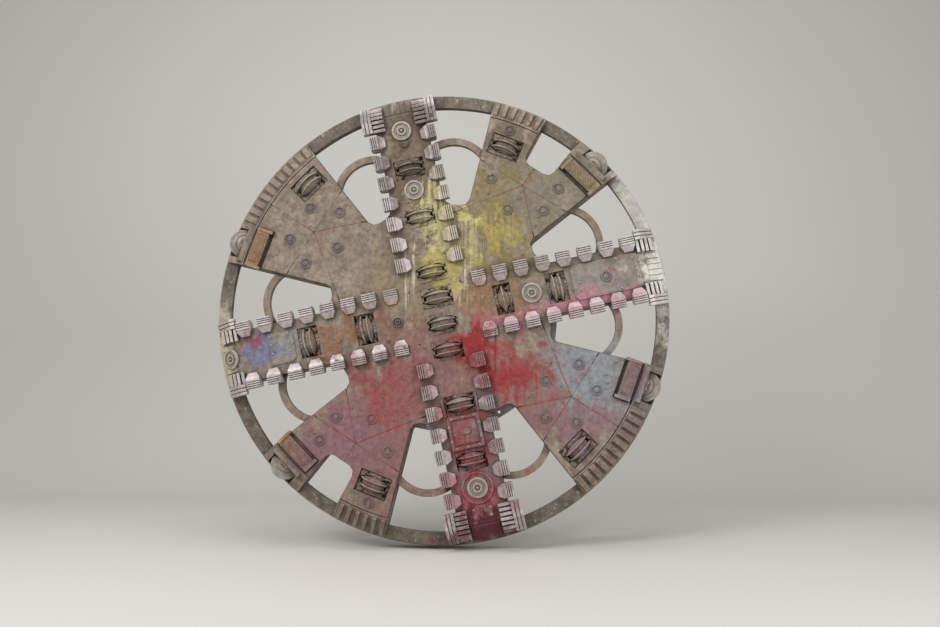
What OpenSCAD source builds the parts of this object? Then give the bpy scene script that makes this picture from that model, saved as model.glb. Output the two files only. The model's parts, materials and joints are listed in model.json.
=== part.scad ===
// Mixed-ground tunnel boring machine cutterhead, carried by its main bearing.
// Millimetres, +Z up, +X to the right seen from the front, the face looks to -Y.
// Each piece is drawn lying down: x right, y up, z forward from the rear face of
// the fixed bearing ring. stand() sets it upright, turned() also turns it to rest.

/* [Head] */
// Diameter over the rim
head_d = 6800; // [6600:20:7200]
// Turn of the head at rest, in degrees
head_turn = 12.2; // [0:0.1:90]
// Front of the face, from the rear face of the fixed bearing ring
face_z = 1300; // [1240:10:1400]
// Depth of the spokes
spoke_depth = 540; // [500:10:580]
// Width of the spokes
spoke_w = 770; // [740:10:800]
// Thickness of the sector plates under their wear plates
plate_t = 80; // [60:5:100]
// Thickness of the wear plates
wear_t = 40; // [20:5:50]
// Seam left between two wear plates
seam_w = 14; // [8:1:24]

/* [Rim] */
// Width of the rim flange, seen from the front
rim_band = 190; // [180:5:210]
// Thickness of the rim shell
rim_shell_t = 80; // [50:5:100]
// Thickness of the rim flange
rim_flange_t = 90; // [60:5:120]
// Arcs that each rim segment is welded up from
rim_arcs = 8; // [6:1:12]
// Length of the rim shell behind its front face
rim_len = 410; // [350:10:460]
// How far the rim's front face lies behind the face
rim_back = 190; // [170:5:220]
// Width of the bevel at the end of the sector plates
bevel_w = 300; // [280:5:320]

/* [Sectors] */
// Half angle of a sector plate, in degrees
sector_half = 18.75; // [18:0.25:20]
// Radius of the closed middle of the face
middle_r = 1660; // [1600:10:1720]
// Thickness of the webs behind the plate edges
web_t = 60; // [40:5:70]
// Depth of those webs behind the plate
web_depth = 300; // [200:10:320]
// Chamfer in the inner corners of the muck openings
corner_c = 120; // [80:5:140]
// Side of the grizzly bars across the muck openings
grizzly_t = 100; // [80:5:120]
// Radius that the middle of the grizzly bars reaches
grizzly_r = 2700; // [2640:10:2740]
// Radius of the grizzly bars' own bow
grizzly_bow = 600; // [560:10:700]
// Distance of the notches' inner end in from the rim
notch_in = 800; // [760:10:860]
// Width of the wear bars on the longer bevels
bevel_bar_w = 85; // [60:5:100]
// Thickness of the wear bars on the bevels
bevel_bar_t = 32; // [20:2:40]

/* [Disc cutters] */
// Diameter of a cutter ring
disc_d = 432; // [420:2:440]
// Stand of the cutting edge in front of the face
disc_stand = 150; // [130:5:170]
// Width of a twin cutter's hub
twin_hub_w = 190; // [180:2:196]
// Width of a single cutter's hub
single_hub_w = 150; // [140:2:160]
// Distance between the two rings of a twin cutter
twin_pitch = 92; // [84:2:100]
// Diameter of the cutter shafts
shaft_d = 120; // [100:2:130]
// Radial clearance between shaft and hub
shaft_gap = 0.3; // [0.2:0.05:0.5]
// Gap between a hub and the clamps beside it
hub_gap = 5; // [5:0.5:8]
// Thickness of a shaft clamp
clamp_t = 50; // [40:2:56]
// Gap between a cutter ring and its pocket
pocket_gap = 14; // [10:1:20]
// Wall of a cutter housing
housing_t = 40; // [30:2:44]
// Tilt of the gauge cutters, in degrees
gauge_tilt = 60; // [56:1:64]
// Distance of the gauge cutters' middle in from the rim
gauge_in = 180; // [175:1:190]

/* [Tools] */
// Spacing of the scrapers along a spoke
scraper_pitch = 320; // [300:5:340]
// Length of a scraper along its spoke
scraper_l = 205; // [180:5:215]
// Width of a scraper across its spoke
scraper_w = 230; // [220:5:240]
// Depth of the scrapers' lip over the spoke's side
scraper_lip = 80; // [50:5:100]
// Stand of a scraper in front of the face
scraper_h = 118; // [90:2:130]
// Distance of the scrapers' middle from the spoke's axis
scraper_y = 390; // [386:1:396]
// Stand of a scraper that is worn down
worn_h = 46; // [36:2:60]
// Number of grooves in a scraper's cutting head
scraper_grooves = 3; // [2:1:4]
// Width of the long bar on the outward side of a gauge scraper
gauge_bar_w = 150; // [130:2:160]
// Stand of that bar in front of the bevel
gauge_bar_h = 112; // [90:2:120]
// Stand of a gauge scraper's ribs in front of the bevel
gauge_rib_h = 88; // [70:2:96]

/* [Bearing] */
// Outer diameter of the fixed bearing ring
bearing_d = 3560; // [3500:10:3640]
// Length of the fixed bearing ring
bearing_len = 220; // [200:5:240]
// Wall of the fixed ring outside the race
bearing_wall = 180; // [165:5:195]
// Wall of the turning ring inside the race
ring_wall = 300; // [270:5:320]
// Running gap of the bearing
bearing_gap = 0.3; // [0.2:0.05:0.5]
// Stand of the turning ring in front of the fixed one
ring_stand = 40; // [20:5:60]
// Distance of the fixed ring's bolt circle in from its edge
bearing_bolt_in = 80; // [70:2:90]
// Number of bolts in the fixed ring
bearing_bolts = 36; // [24:1:48]
// Diameter of the bolt holes in the fixed ring
bearing_bolt_d = 48; // [36:1:56]
// Thickness of the head flange
flange_t = 100; // [60:5:120]
// Width of a support leg, across the radius
leg_w = 480; // [400:10:520]
// Radius of the rotary joint pipe
pipe_r = 260; // [220:5:300]
// Wall of the rotary joint pipe
pipe_t = 40; // [25:5:60]
// Width of the rotary joint's flanges
pipe_flange_w = 90; // [70:5:110]
// Thickness of the rotary joint's flanges
pipe_flange_t = 50; // [30:5:60]
// Number of bolts in the rotary joint's flange
pipe_bolts = 12; // [8:1:16]
// Diameter of the bolt holes in the rotary joint's flange
pipe_bolt_d = 26; // [16:1:30]
// Number of teeth in the ring gear
gear_teeth = 100; // [80:2:120]
// Height of the ring gear's teeth
tooth_h = 44; // [30:2:56]
// Diameter of the mixing bars behind the spokes
mixer_d = 140; // [110:5:160]
// Length of the mixing bars
mixer_l = 330; // [250:10:380]
// Distance of the mixing bars in from the rim
mixer_in = 640; // [600:10:900]

/* [Hidden] */
$fn = 96;
big_fn = 240;
// Gap between curved faces that lie on each other, and between flat ones.
seat = 0.3;
paint = 0.03;
far = 4000;

rim_r = head_d / 2;
rim_in = rim_r - rim_band;
rim_front = face_z - rim_back;
rim_rear = rim_front - rim_len;
shell_in = rim_r - rim_shell_t;
bevel_r = rim_r - bevel_w;
bevel_edge = 12;
bevel_foot = 10;
bevel_inner = bevel_r - 15;
spoke_rear = face_z - spoke_depth;
spoke_half = spoke_w / 2;
plate_front = face_z - wear_t;
plate_rear = plate_front - plate_t;

disc_r = disc_d / 2;
disc_z = face_z + disc_stand - disc_r;
pocket_l = disc_d + 2 * pocket_gap;
housing_l = pocket_l + 2 * housing_t;
housing_rear = disc_z - disc_r - 30;
gauge_r = rim_r - gauge_in;
gauge_z = face_z - 150;
gauge_front = 40;
gauge_rear = -disc_r - 24;

grizzly_front = face_z - scraper_lip - 5;

race_r = bearing_d / 2 - bearing_wall;
ring_bore_r = race_r - ring_wall;
bearing_bolt_r = bearing_d / 2 - bearing_bolt_in;
bolt_margin = 1;
race_lip = 40;
inner_rear = 20;
inner_front = bearing_len + ring_stand;
flange_front = inner_front + flange_t;
flange_edge = 30;
leg_r_in = ring_bore_r - 20;
leg_r_out = race_r - 50;
leg_spread_in = 1420;
leg_spread_out = 2300;
leg_toe = 60;
tooth_root = 34;
gear_l = 200;
gear_gap = 1;
// Half widths of a tooth gap's root and of its tip, as shares of the pitch.
root_share = 0.34;
tip_share = 0.16;
mixer_base = 30;

// Half length of the centre block, which ends past the last centre cutter.
centre_half = 850;

// Angles of a notch's sides from the middle of its sector plate.
notch_a = -6;
notch_b = 4.5;
notch_corner = 110;

// Run of the bevel from its upper edge to its foot.
bevel_run = [rim_r - bevel_edge - bevel_r, rim_front + bevel_foot - face_z];
bevel_l = norm(bevel_run);
// A point s down the bevel and h in front of it.
function on_bevel(s, h) =
    [bevel_r, face_z] + (s * bevel_run + h * [-bevel_run[1], bevel_run[0]]) / bevel_l;
// Height of the bevel at radius r.
function bevel_z(r) = min(face_z, face_z + (r - bevel_r) * bevel_run[1] / bevel_run[0]);

// Radius at which a gauge housing's inner face stands at height z.
function housing_edge_r(z) =
    gauge_r - housing_half_w * cos(gauge_tilt)
    + (z - gauge_z - housing_half_w * sin(gauge_tilt)) * tan(gauge_tilt);

housing_half_w = pocket_w(twin_hub_w) / 2 + housing_t;
guard_w = 190;
guard_l = 520;
guard_h = 60;
guard_cap_t = 45;
guard_cap_w = 230;
guard_cap_h = 16;
guard_reach = guard_l / 2 + guard_cap_t;
gauge_scraper_out = 75;
gauge_bar_in = 32;
gauge_groove = 14;
gauge_rib_l = 185;
gauge_rib_t = 42;
gauge_rib_pitch = 68;
bevel_bar_end = 18;
spoke_strip_w = 84;
spoke_strip_t = 14;
spoke_strip_end = 36;
strip_gap = 8;
guard_r = housing_edge_r(plate_front) - 5 - guard_w / 2;
guard_edge_r = guard_r + guard_w / 2 - guard_cap_w;
// Place of the cross seam, and length of the two inner seams that leave its
// middle at these angles from the inward bisector.
seam_r = rim_r - 1120;
inner_seam_l = 1200;
seam_angles = [-36, 44];

steel = [0.50, 0.45, 0.38];
worn_steel = [0.62, 0.56, 0.50];
tool_steel = [0.72, 0.68, 0.72];
dark_steel = [0.34, 0.32, 0.30];
rust = [0.55, 0.36, 0.20];

// Signed radii of the centre block's cutters, along the top spoke.
CENTRE_CUTTERS = [640, 240, -160, -560];
// [radius, angle from the right spoke, twin rings]
SPOKE_CUTTERS = [
    [960, 0, false], [1770, 0, true],
    [1490, 90, true], [2250, 90, true],
    [1130, 180, true], [2000, 180, true],
    [1380, 270, true], [2190, 270, true]
];
// [distance in from the rim, angle from the right spoke]
SECTOR_CUTTERS = [[710, 56.6], [580, 123.2], [710, 236.6], [580, 303.2]];
// angle from the right spoke
GAUGE_CUTTERS = [32, 148, 212, 328];
// middle of the sector plates with a notch in their outer end
NOTCH_SECTORS = [45, 225];
// [spoke angle, outermost scraper in from the rim, least radius of a scraper,
// inner end of the gauge scrapers in from the rim, innermost scrapers worn down]
SCRAPER_ROWS = [
    [0, 490, 650, 375, true], [90, 680, 780, 520, false],
    [180, 490, 650, 375, true], [270, 680, 780, 520, false]
];
// [radius, angle, outer radius of the button]
BUTTONS = [
    [1910, 90, 150], [2850, 90, 150], [1385, 0, 150], [2600, 270, 150], [645, 180, 80]
];
// [radius, angle from the middle of its sector plate] of the plug bosses on
// every plate, on the plain plates and on the notched ones
PLUGS = [[2170, 12.3], [2170, -12.3], [1850, 0]];
PLAIN_PLUGS = [[2550, 6.3], [2550, -6.3]];
NOTCH_PLUGS = [[2570, -10.6], [2955, 12.2]];
plug_r = 80;
// Button on the left spoke's bevel: how far down the bevel, and its radius.
end_button_s = 110;
end_button_r = 150;
// Angle from one bar to the next on a plate's bevel.
bevel_bar_pitch = 2.35;
// Wear bars on the bevel of the plain plates and of the notched ones:
// [first angle from the plate's middle, number of bars, width]
PLAIN_BARS = [-17.4, 11, bevel_bar_w];
NOTCH_BARS = [5.9, 6, bevel_bar_w - 25];
// Covers on the spokes: [spoke angle, inner end, outer end, half width, thickness]
COVERS = [
    [0, 2000, 3010, 262, 16], [180, 2225, 2600, 235, 14],
    [90, 2590, 2670, 55, 45], [270, 2856, 3040, 150, 16]
];
cover_corner = 60;
// Hatch on the bottom spoke: its ends, half width, frame width and heights of
// its plate, its frame, its raised lid and its lifting boss.
hatch_in = 1545;
hatch_out = 2025;
hatch_half = 240;
hatch_frame = 40;
hatch_t = 14;
hatch_frame_t = 34;
hatch_lid_t = 30;
hatch_lid_in = 75;
hatch_boss_h = 48;
hatch_boss_r = 42;
// Strips beside the inner cutter of the bottom spoke: [inner end, length, width,
// thickness, distance from the spoke's axis]
FRAME_STRIP = [1250, 270, 28, 24, 252];
// Wear ring round the button of the bottom spoke: [radius, outer and inner
// radius of the ring, thickness]
BUTTON_RING = [2600, 240, 196, 20];

module stand() {
    rotate([90, 0, 0]) children();
}

module turned() {
    rotate([90, 0, 0]) rotate([0, 0, head_turn]) children();
}

function polar(r, a) = [r * cos(a), r * sin(a)];

// A point on a spoke's side seen from the middle of a sector: u along the
// spoke, d away from its side.
function beside_spoke(u, d) =
    [(u + spoke_half + d) / sqrt(2), (u - spoke_half - d) / sqrt(2)];

// A point on the plate's radial edge: u out along it, d inwards from it.
function along_edge(u, d) =
    [u * cos(sector_half) + d * sin(sector_half), u * sin(sector_half) - d * cos(sector_half)];

// The upper half of a sector plate's outline, d_spoke away from the spokes and
// d_edge inside its radial edges, with its inner corner filled by c.
function half_outline(d_spoke, d_edge, c) =
    let (
        r = middle_r - d_edge,
        u_1 = sqrt(pow(r, 2) - pow(spoke_half + d_spoke, 2)),
        u_2 = sqrt(pow(r, 2) - pow(d_edge, 2)),
        a_1 = 45 - asin((spoke_half + d_spoke) / r),
        a_2 = sector_half - asin(d_edge / r),
        da = c / r * 180 / PI
    )
    [
        [(spoke_half + d_spoke) * sqrt(2), 0],
        beside_spoke(u_1 + c, d_spoke),
        polar(r + 0.3 * c, a_1 - 0.3 * da),
        polar(r, a_1 - da),
        polar(r, a_2 + da),
        polar(r + 0.3 * c, a_2 + 0.3 * da),
        along_edge(u_2 + c, d_edge),
        along_edge(far, d_edge)
    ];

function mirrored(points) =
    [for (i = [len(points) - 1:-1:0]) if (points[i][1] != 0) [points[i][0], -points[i][1]]];

module sector_outline(d_spoke, d_edge, c) {
    upper = half_outline(d_spoke, d_edge, c);
    polygon(concat(upper, mirrored(upper)));
}

// The turned shape that the spokes are cut to, and that pieces which lie on
// them are cut by, then with its bevel dr further out and its top dz higher.
module face_envelope(dr = 0, dz = 0) {
    rotate_extrude($fn = big_fn)
        polygon([
            [0, spoke_rear],
            [shell_in - seat, spoke_rear],
            [shell_in - seat, rim_front - rim_flange_t],
            [rim_in - seat, rim_front - rim_flange_t],
            [rim_in - seat, rim_front],
            [rim_r - bevel_edge + dr, rim_front],
            [rim_r - bevel_edge + dr, rim_front + bevel_foot + dz],
            [bevel_r + dr, face_z + dz],
            [0, face_z + dz]
        ]);
}

// The bevelled casting at the outer end of a sector plate.
module bevel_ring() {
    rotate_extrude($fn = big_fn)
        polygon([
            [bevel_inner, rim_front + paint],
            [rim_r - bevel_edge, rim_front + paint],
            [rim_r - bevel_edge, rim_front + bevel_foot],
            [bevel_r, face_z],
            [bevel_inner, face_z]
        ]);
}

// The turned shape that the webs behind a sector plate are cut to.
module web_envelope() {
    rotate_extrude($fn = big_fn)
        polygon([
            [0, plate_rear - web_depth],
            [shell_in - seat, plate_rear - web_depth],
            [shell_in - seat, rim_front - rim_flange_t - paint],
            [rim_in - seat, rim_front - rim_flange_t - paint],
            [rim_in - seat, plate_rear + plate_t / 2],
            [0, plate_rear + plate_t / 2]
        ]);
}

function pocket_w(hub_w) = hub_w + 2 * (hub_gap + clamp_t);

module pocket(hub_w, z_from, z_to) {
    translate([-pocket_w(hub_w) / 2, -pocket_l / 2, z_from])
        cube([pocket_w(hub_w), pocket_l, z_to - z_from]);
}

module at_gauge(a) {
    rotate([0, 0, a]) translate([gauge_r, 0, gauge_z]) rotate([0, gauge_tilt, 0]) children();
}

module gauge_housing_block(gap) {
    w = pocket_w(twin_hub_w) + 2 * (housing_t + gap);
    l = housing_l + 2 * gap;
    translate([-w / 2, -l / 2, gauge_rear - gap]) cube([w, l, gauge_front - gauge_rear + 2 * gap]);
}

module gauge_cut(a) {
    at_gauge(a) {
        gauge_housing_block(paint);
        pocket(twin_hub_w, gauge_front - 1, 500);
    }
}

module cutter_shaft(hub_w) {
    w = pocket_w(hub_w) - 2 * paint;
    color(dark_steel) {
        translate([-w / 2, 0, 0]) rotate([0, 90, 0]) cylinder(d = shaft_d, h = w);
        for (side = [-1, 1])
            translate([side * (w / 2 - clamp_t / 2), 0, 0]) clamp();
    }
}

module clamp() {
    half = 110;
    rotate([90, 0, 90])
        linear_extrude(clamp_t, center = true)
            polygon([
                [-half, -130], [half, -130], [half, 20], [half - 40, 50],
                [40 - half, 50], [-half, 20]
            ]);
}

module disc_profile(hub_w, rings) {
    h = hub_w / 2;
    bore = shaft_d / 2 + shaft_gap;
    hub_r = disc_r * 0.56;
    rim_low = disc_r * 0.70;
    chamfer = 25;
    polygon([
        [bore, -h], [hub_r - chamfer, -h], [hub_r, chamfer - h], [hub_r, h - chamfer],
        [hub_r - chamfer, h], [bore, h]
    ]);
    for (x = rings)
        polygon([
            [hub_r - 10, x - 38], [rim_low, x - 34], [rim_low + 14, x - 20], [disc_r - 4, x - 9],
            [disc_r, x - 4], [disc_r, x + 4], [disc_r - 4, x + 9], [rim_low + 14, x + 20],
            [rim_low, x + 34], [hub_r - 10, x + 38]
        ]);
}

module disc(hub_w, twin) {
    rings = twin ? [-twin_pitch / 2, twin_pitch / 2] : [0];
    color(tool_steel)
        rotate([0, 90, 0]) rotate_extrude() disc_profile(hub_w, rings);
}

module at_face_cutter(r, a) {
    rotate([0, 0, a]) translate([r, 0, disc_z]) children();
}

function cutter_hub(twin) = twin ? twin_hub_w : single_hub_w;

module centre_disc(i) {
    turned() at_face_cutter(CENTRE_CUTTERS[i], 90) disc(twin_hub_w, true);
}

module spoke_disc(i) {
    c = SPOKE_CUTTERS[i];
    turned() at_face_cutter(c[0], c[1]) disc(cutter_hub(c[2]), c[2]);
}

module sector_disc(i) {
    c = SECTOR_CUTTERS[i];
    turned() at_face_cutter(rim_r - c[0], c[1]) disc(twin_hub_w, true);
}

module gauge_disc(i) {
    turned() at_gauge(GAUGE_CUTTERS[i]) disc(twin_hub_w, false);
}

module cutter_shafts() {
    turned() {
        for (r = CENTRE_CUTTERS) at_face_cutter(r, 90) cutter_shaft(twin_hub_w);
        for (c = SPOKE_CUTTERS) at_face_cutter(c[0], c[1]) cutter_shaft(cutter_hub(c[2]));
        for (c = SECTOR_CUTTERS) at_face_cutter(rim_r - c[0], c[1]) cutter_shaft(twin_hub_w);
        for (a = GAUGE_CUTTERS) at_gauge(a) cutter_shaft(twin_hub_w);
    }
}

module bearing_outer_ring() {
    lip = race_r + race_lip;
    color(dark_steel) stand() difference() {
        rotate_extrude()
            polygon([
                [race_r, 0], [bearing_d / 2, 0], [bearing_d / 2, bearing_len], [race_r, bearing_len],
                [race_r, bearing_len * 0.6], [lip, bearing_len * 0.6],
                [lip, bearing_len * 0.4], [race_r, bearing_len * 0.4]
            ]);
        for (i = [0:bearing_bolts - 1])
            rotate([0, 0, i * 360 / bearing_bolts])
                translate([bearing_bolt_r, 0, -bolt_margin])
                    cylinder(d = bearing_bolt_d, h = bearing_len + 2 * bolt_margin);
    }
}

module bearing_inner_ring() {
    lip = race_r + race_lip - bearing_gap;
    r = race_r - bearing_gap;
    color(worn_steel) turned()
        rotate_extrude()
            polygon([
                [ring_bore_r, inner_rear], [r, inner_rear], [r, bearing_len * 0.4 + bearing_gap],
                [lip, bearing_len * 0.4 + bearing_gap], [lip, bearing_len * 0.6 - bearing_gap],
                [r, bearing_len * 0.6 - bearing_gap], [r, inner_front], [ring_bore_r, inner_front]
            ]);
}

// The teeth that the drive's pinions turn the head by, a ring inside the
// turning ring that is held against the head flange.
module ring_gear() {
    r_root = ring_bore_r - tooth_root;
    r_tip = r_root - tooth_h;
    profile = [[r_root, -root_share], [r_tip, -tip_share], [r_tip, tip_share], [r_root, root_share]];
    color(dark_steel) turned()
        translate([0, 0, inner_front - paint - gear_l])
            linear_extrude(gear_l) difference() {
                circle(r = ring_bore_r - gear_gap);
                polygon([
                    for (i = [0:gear_teeth - 1], p = profile) polar(p[0], (i + p[1]) * 360 / gear_teeth)
                ]);
            }
}

// Bars behind the spokes that stir the ground in the chamber.
module mixing_bars() {
    length = mixer_l - mixer_base;
    color(rust) turned()
        for (a = [0:90:270])
            rotate([0, 0, a]) translate([rim_r - mixer_in, 0, spoke_rear - paint]) rotate([180, 0, 0])
                rotate_extrude()
                    polygon([
                        [0, 0], [mixer_d, 0], [mixer_d, mixer_base], [mixer_d * 0.6, mixer_base + 20],
                        [mixer_d / 2, mixer_base + 70], [mixer_d / 2, length],
                        [mixer_d / 2 - 20, mixer_l], [0, mixer_l]
                    ]);
}

module head_flange() {
    color(steel) turned()
        rotate_extrude()
            polygon([
                [leg_r_in - flange_edge, inner_front + paint],
                [leg_r_out + flange_edge, inner_front + paint],
                [leg_r_out + flange_edge, flange_front], [leg_r_in - flange_edge, flange_front]
            ]);
}

module support_legs() {
    color(steel) turned()
        for (a = [0:90:270])
            rotate([0, 0, a]) rotate([90, 0, 0])
                linear_extrude(leg_w, center = true)
                    polygon([
                        [leg_r_in, flange_front + paint], [leg_r_out, flange_front + paint],
                        [leg_r_out, flange_front + leg_toe], [leg_spread_out, spoke_rear - leg_toe],
                        [leg_spread_out, spoke_rear - paint], [leg_spread_in, spoke_rear - paint],
                        [leg_r_in, flange_front + 2 * leg_toe]
                    ]);
}

module rotary_joint_pipe() {
    back = flange_front - pipe_flange_t;
    color(dark_steel) turned() difference() {
        rotate_extrude()
            polygon([
                [pipe_r - pipe_t, back], [pipe_r + pipe_flange_w, back],
                [pipe_r + pipe_flange_w, flange_front], [pipe_r, flange_front],
                [pipe_r, spoke_rear - pipe_flange_t],
                [pipe_r + pipe_flange_w, spoke_rear - pipe_flange_t],
                [pipe_r + pipe_flange_w, spoke_rear - paint], [pipe_r - pipe_t, spoke_rear - paint]
            ]);
        for (i = [0:pipe_bolts - 1])
            rotate([0, 0, i * 360 / pipe_bolts])
                translate([pipe_r + pipe_flange_w / 2, 0, back - bolt_margin])
                    cylinder(d = pipe_bolt_d, h = pipe_flange_t + 2 * bolt_margin);
    }
}

module centre_block() {
    color(steel) turned() difference() {
        translate([-spoke_half, -centre_half, spoke_rear])
            cube([spoke_w, 2 * centre_half, spoke_depth]);
        for (r = CENTRE_CUTTERS)
            at_face_cutter(r, 90) pocket(twin_hub_w, housing_rear - disc_z, far);
    }
}

module spoke(a, start) {
    color(steel) turned() difference() {
        intersection() {
            rotate([0, 0, a]) translate([start, -spoke_half, 0]) cube([far, spoke_w, far]);
            face_envelope();
        }
        for (c = SPOKE_CUTTERS)
            if (c[1] == a) at_face_cutter(c[0], a) pocket(cutter_hub(c[2]), housing_rear - disc_z, far);
    }
}

// The outline of the notch in a sector plate, open at the rim and grown
// outwards by a wall.
module notch_outline(grow) {
    r_in = rim_r - notch_in - grow;
    side = grow / (rim_r - notch_in) * 180 / PI;
    a = notch_a - side;
    b = notch_b + side;
    c = notch_corner;
    da = c / r_in * 180 / PI;
    polygon([
        polar(far, a), polar(far, b),
        polar(r_in + c, b), polar(r_in + 0.3 * c, b - 0.3 * da), polar(r_in, b - da),
        polar(r_in, a + da), polar(r_in + 0.3 * c, a + 0.3 * da), polar(r_in + c, a)
    ]);
}

module sector_plate() {
    translate([0, 0, plate_rear])
        linear_extrude(plate_t) intersection() {
            sector_outline(paint, 0, corner_c);
            circle(r = bevel_r + 30, $fn = big_fn);
        }
    intersection() {
        web_envelope();
        linear_extrude(far) difference() {
            sector_outline(paint, 0, corner_c);
            sector_outline(-20, web_t, corner_c);
        }
    }
    intersection() {
        bevel_ring();
        linear_extrude(far) sector_outline(paint, 0, corner_c);
    }
}

module cutter_housing() {
    w = pocket_w(twin_hub_w) + 2 * housing_t;
    translate([-w / 2, -housing_l / 2, housing_rear - housing_t - disc_z])
        cube([w, housing_l, plate_rear + plate_t / 2 - housing_rear + housing_t]);
}

function is_notched(mid) = len([for (a = NOTCH_SECTORS) if (a == mid) a]) > 0;

module sector_body(mid) {
    notched = is_notched(mid);
    color(worn_steel) turned() difference() {
        union() {
            rotate([0, 0, mid]) sector_plate();
            for (c = SECTOR_CUTTERS)
                if (abs(c[1] - mid) < 45) at_face_cutter(rim_r - c[0], c[1]) cutter_housing();
            if (notched)
                rotate([0, 0, mid]) intersection() {
                    web_envelope();
                    linear_extrude(far) notch_outline(web_t / 2);
                }
        }
        for (c = SECTOR_CUTTERS)
            if (abs(c[1] - mid) < 45)
                at_face_cutter(rim_r - c[0], c[1]) pocket(twin_hub_w, housing_rear - disc_z, far);
        for (a = GAUGE_CUTTERS)
            if (abs(a - mid) < 45) gauge_cut(a);
        if (notched) rotate([0, 0, mid]) linear_extrude(far) notch_outline(0);
    }
}

module wear_plates() {
    color(worn_steel) turned()
        for (mid = [45:90:315])
            translate([0, 0, plate_front + paint])
                linear_extrude(wear_t - paint) difference() {
                    intersection() {
                        rotate([0, 0, mid]) sector_outline(seam_w, seam_w, corner_c);
                        circle(r = bevel_inner - seam_w, $fn = big_fn);
                    }
                    rotate([0, 0, mid]) plate_seams();
                    for (c = SECTOR_CUTTERS)
                        if (abs(c[1] - mid) < 45)
                            rotate([0, 0, c[1]])
                                translate([rim_r - c[0], 0])
                                    square([pocket_w(twin_hub_w) + 30, pocket_l + 30], center = true);
                    for (a = GAUGE_CUTTERS)
                        if (abs(a - mid) < 45)
                            rotate([0, 0, a])
                                translate([guard_edge_r - seam_w, -guard_reach - seam_w])
                                    square([far, 2 * (guard_reach + seam_w)]);
                    for (a = NOTCH_SECTORS)
                        if (a == mid) rotate([0, 0, mid]) notch_outline(0);
                }
}

module plate_seams() {
    translate([seam_r - seam_w / 2, -far / 2]) square([seam_w, far]);
    translate([seam_r, -seam_w / 2]) square([far, seam_w]);
    for (a = seam_angles)
        translate([seam_r, 0]) rotate([0, 0, 180 + a])
            translate([0, -seam_w / 2]) square([inner_seam_l, seam_w]);
}

module rim_segment(mid) {
    arc = 90 / rim_arcs;
    color(steel) turned() for (a = [mid - 45:arc:mid + 45 - arc]) difference() {
        intersection() {
            rotate_extrude($fn = big_fn)
                polygon([
                    [shell_in, rim_rear], [rim_r, rim_rear], [rim_r, rim_front - bevel_edge],
                    [rim_r - bevel_edge, rim_front], [rim_in, rim_front],
                    [rim_in, rim_front - rim_flange_t], [shell_in, rim_front - rim_flange_t]
                ]);
            rotate([0, 0, a]) translate([0, paint / 2, 0]) cube([far, far, far]);
            rotate([0, 0, a + arc - 90]) translate([paint / 2, 0, 0]) cube([far, far, far]);
        }
        for (c = GAUGE_CUTTERS)
            if (abs(c - a - arc / 2) < 20) gauge_cut(c);
    }
}

module grizzly_bars() {
    edge_a = 45 - sector_half;
    middle = polar(grizzly_r - grizzly_bow, (asin(spoke_half / grizzly_r) + edge_a) / 2);
    color(steel) turned()
        for (a = [0:90:270], side = [0, 1])
            rotate([0, 0, a]) mirror([0, side, 0])
                intersection() {
                    translate([middle[0], middle[1], grizzly_front - grizzly_t])
                        rotate_extrude() translate([grizzly_bow - grizzly_t, 0]) square(grizzly_t);
                    linear_extrude(far)
                        polygon([
                            [grizzly_r * 0.85, spoke_half], [far, spoke_half],
                            polar(far, edge_a), polar(grizzly_r * 0.85, edge_a)
                        ]);
                }
}

// Radial bars welded on the bevels, and a strip of them at the spokes' ends.
module bevel_bars() {
    color(worn_steel) turned() {
        for (mid = [45:90:315])
            let (bars = is_notched(mid) ? NOTCH_BARS : PLAIN_BARS)
                for (i = [0:bars[1] - 1])
                    rotate([0, 0, mid + bars[0] + i * bevel_bar_pitch])
                        bevel_bar(0, bars[2], bevel_bar_end, bevel_bar_t);
        for (a = [0:90:270])
            rotate([0, 0, a])
                for (i = [-2:2])
                    bevel_bar(i * spoke_strip_w, spoke_strip_w - strip_gap, spoke_strip_end, spoke_strip_t);
    }
}

// A bar w wide and v aside down the bevel, from s behind its upper edge to s
// from its foot.
module bevel_bar(v, w, s, t) {
    intersection() {
        rotate_extrude($fn = big_fn)
            polygon([
                on_bevel(s, seat), on_bevel(bevel_l - s, seat),
                on_bevel(bevel_l - s - t / 2, t), on_bevel(s + t / 2, t)
            ]);
        translate([0, v - w / 2, 0]) cube([far, w, far]);
    }
}

// Cover plates bolted on the spokes, and the framed hatch of the bottom spoke.
module face_covers() {
    color(worn_steel) turned() {
        for (c = COVERS)
            rotate([0, 0, c[0]]) translate([0, 0, face_z + paint])
                linear_extrude(c[4]) cover_outline(c[1], c[2], c[3], min(cover_corner, c[3] / 2));
        rotate([0, 0, 270]) translate([0, 0, face_z + paint]) {
            hatch();
            for (side = [-1, 1])
                translate([FRAME_STRIP[0], side * FRAME_STRIP[4] - FRAME_STRIP[2] / 2, 0])
                    cube([FRAME_STRIP[1], FRAME_STRIP[2], FRAME_STRIP[3]]);
            button_ring();
        }
    }
}

module button_ring() {
    r_out = BUTTON_RING[1];
    r_in = BUTTON_RING[2];
    t = BUTTON_RING[3];
    translate([BUTTON_RING[0], 0, 0]) rotate_extrude()
        polygon([[r_in, 0], [r_out, 0], [r_out - t / 2, t], [r_in + t / 2, t]]);
}

module cover_outline(u_0, u_1, half, c) {
    polygon([
        [u_0 + c, -half], [u_1, -half], [u_1, half], [u_0 + c, half], [u_0, half - c], [u_0, c - half]
    ]);
}

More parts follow.
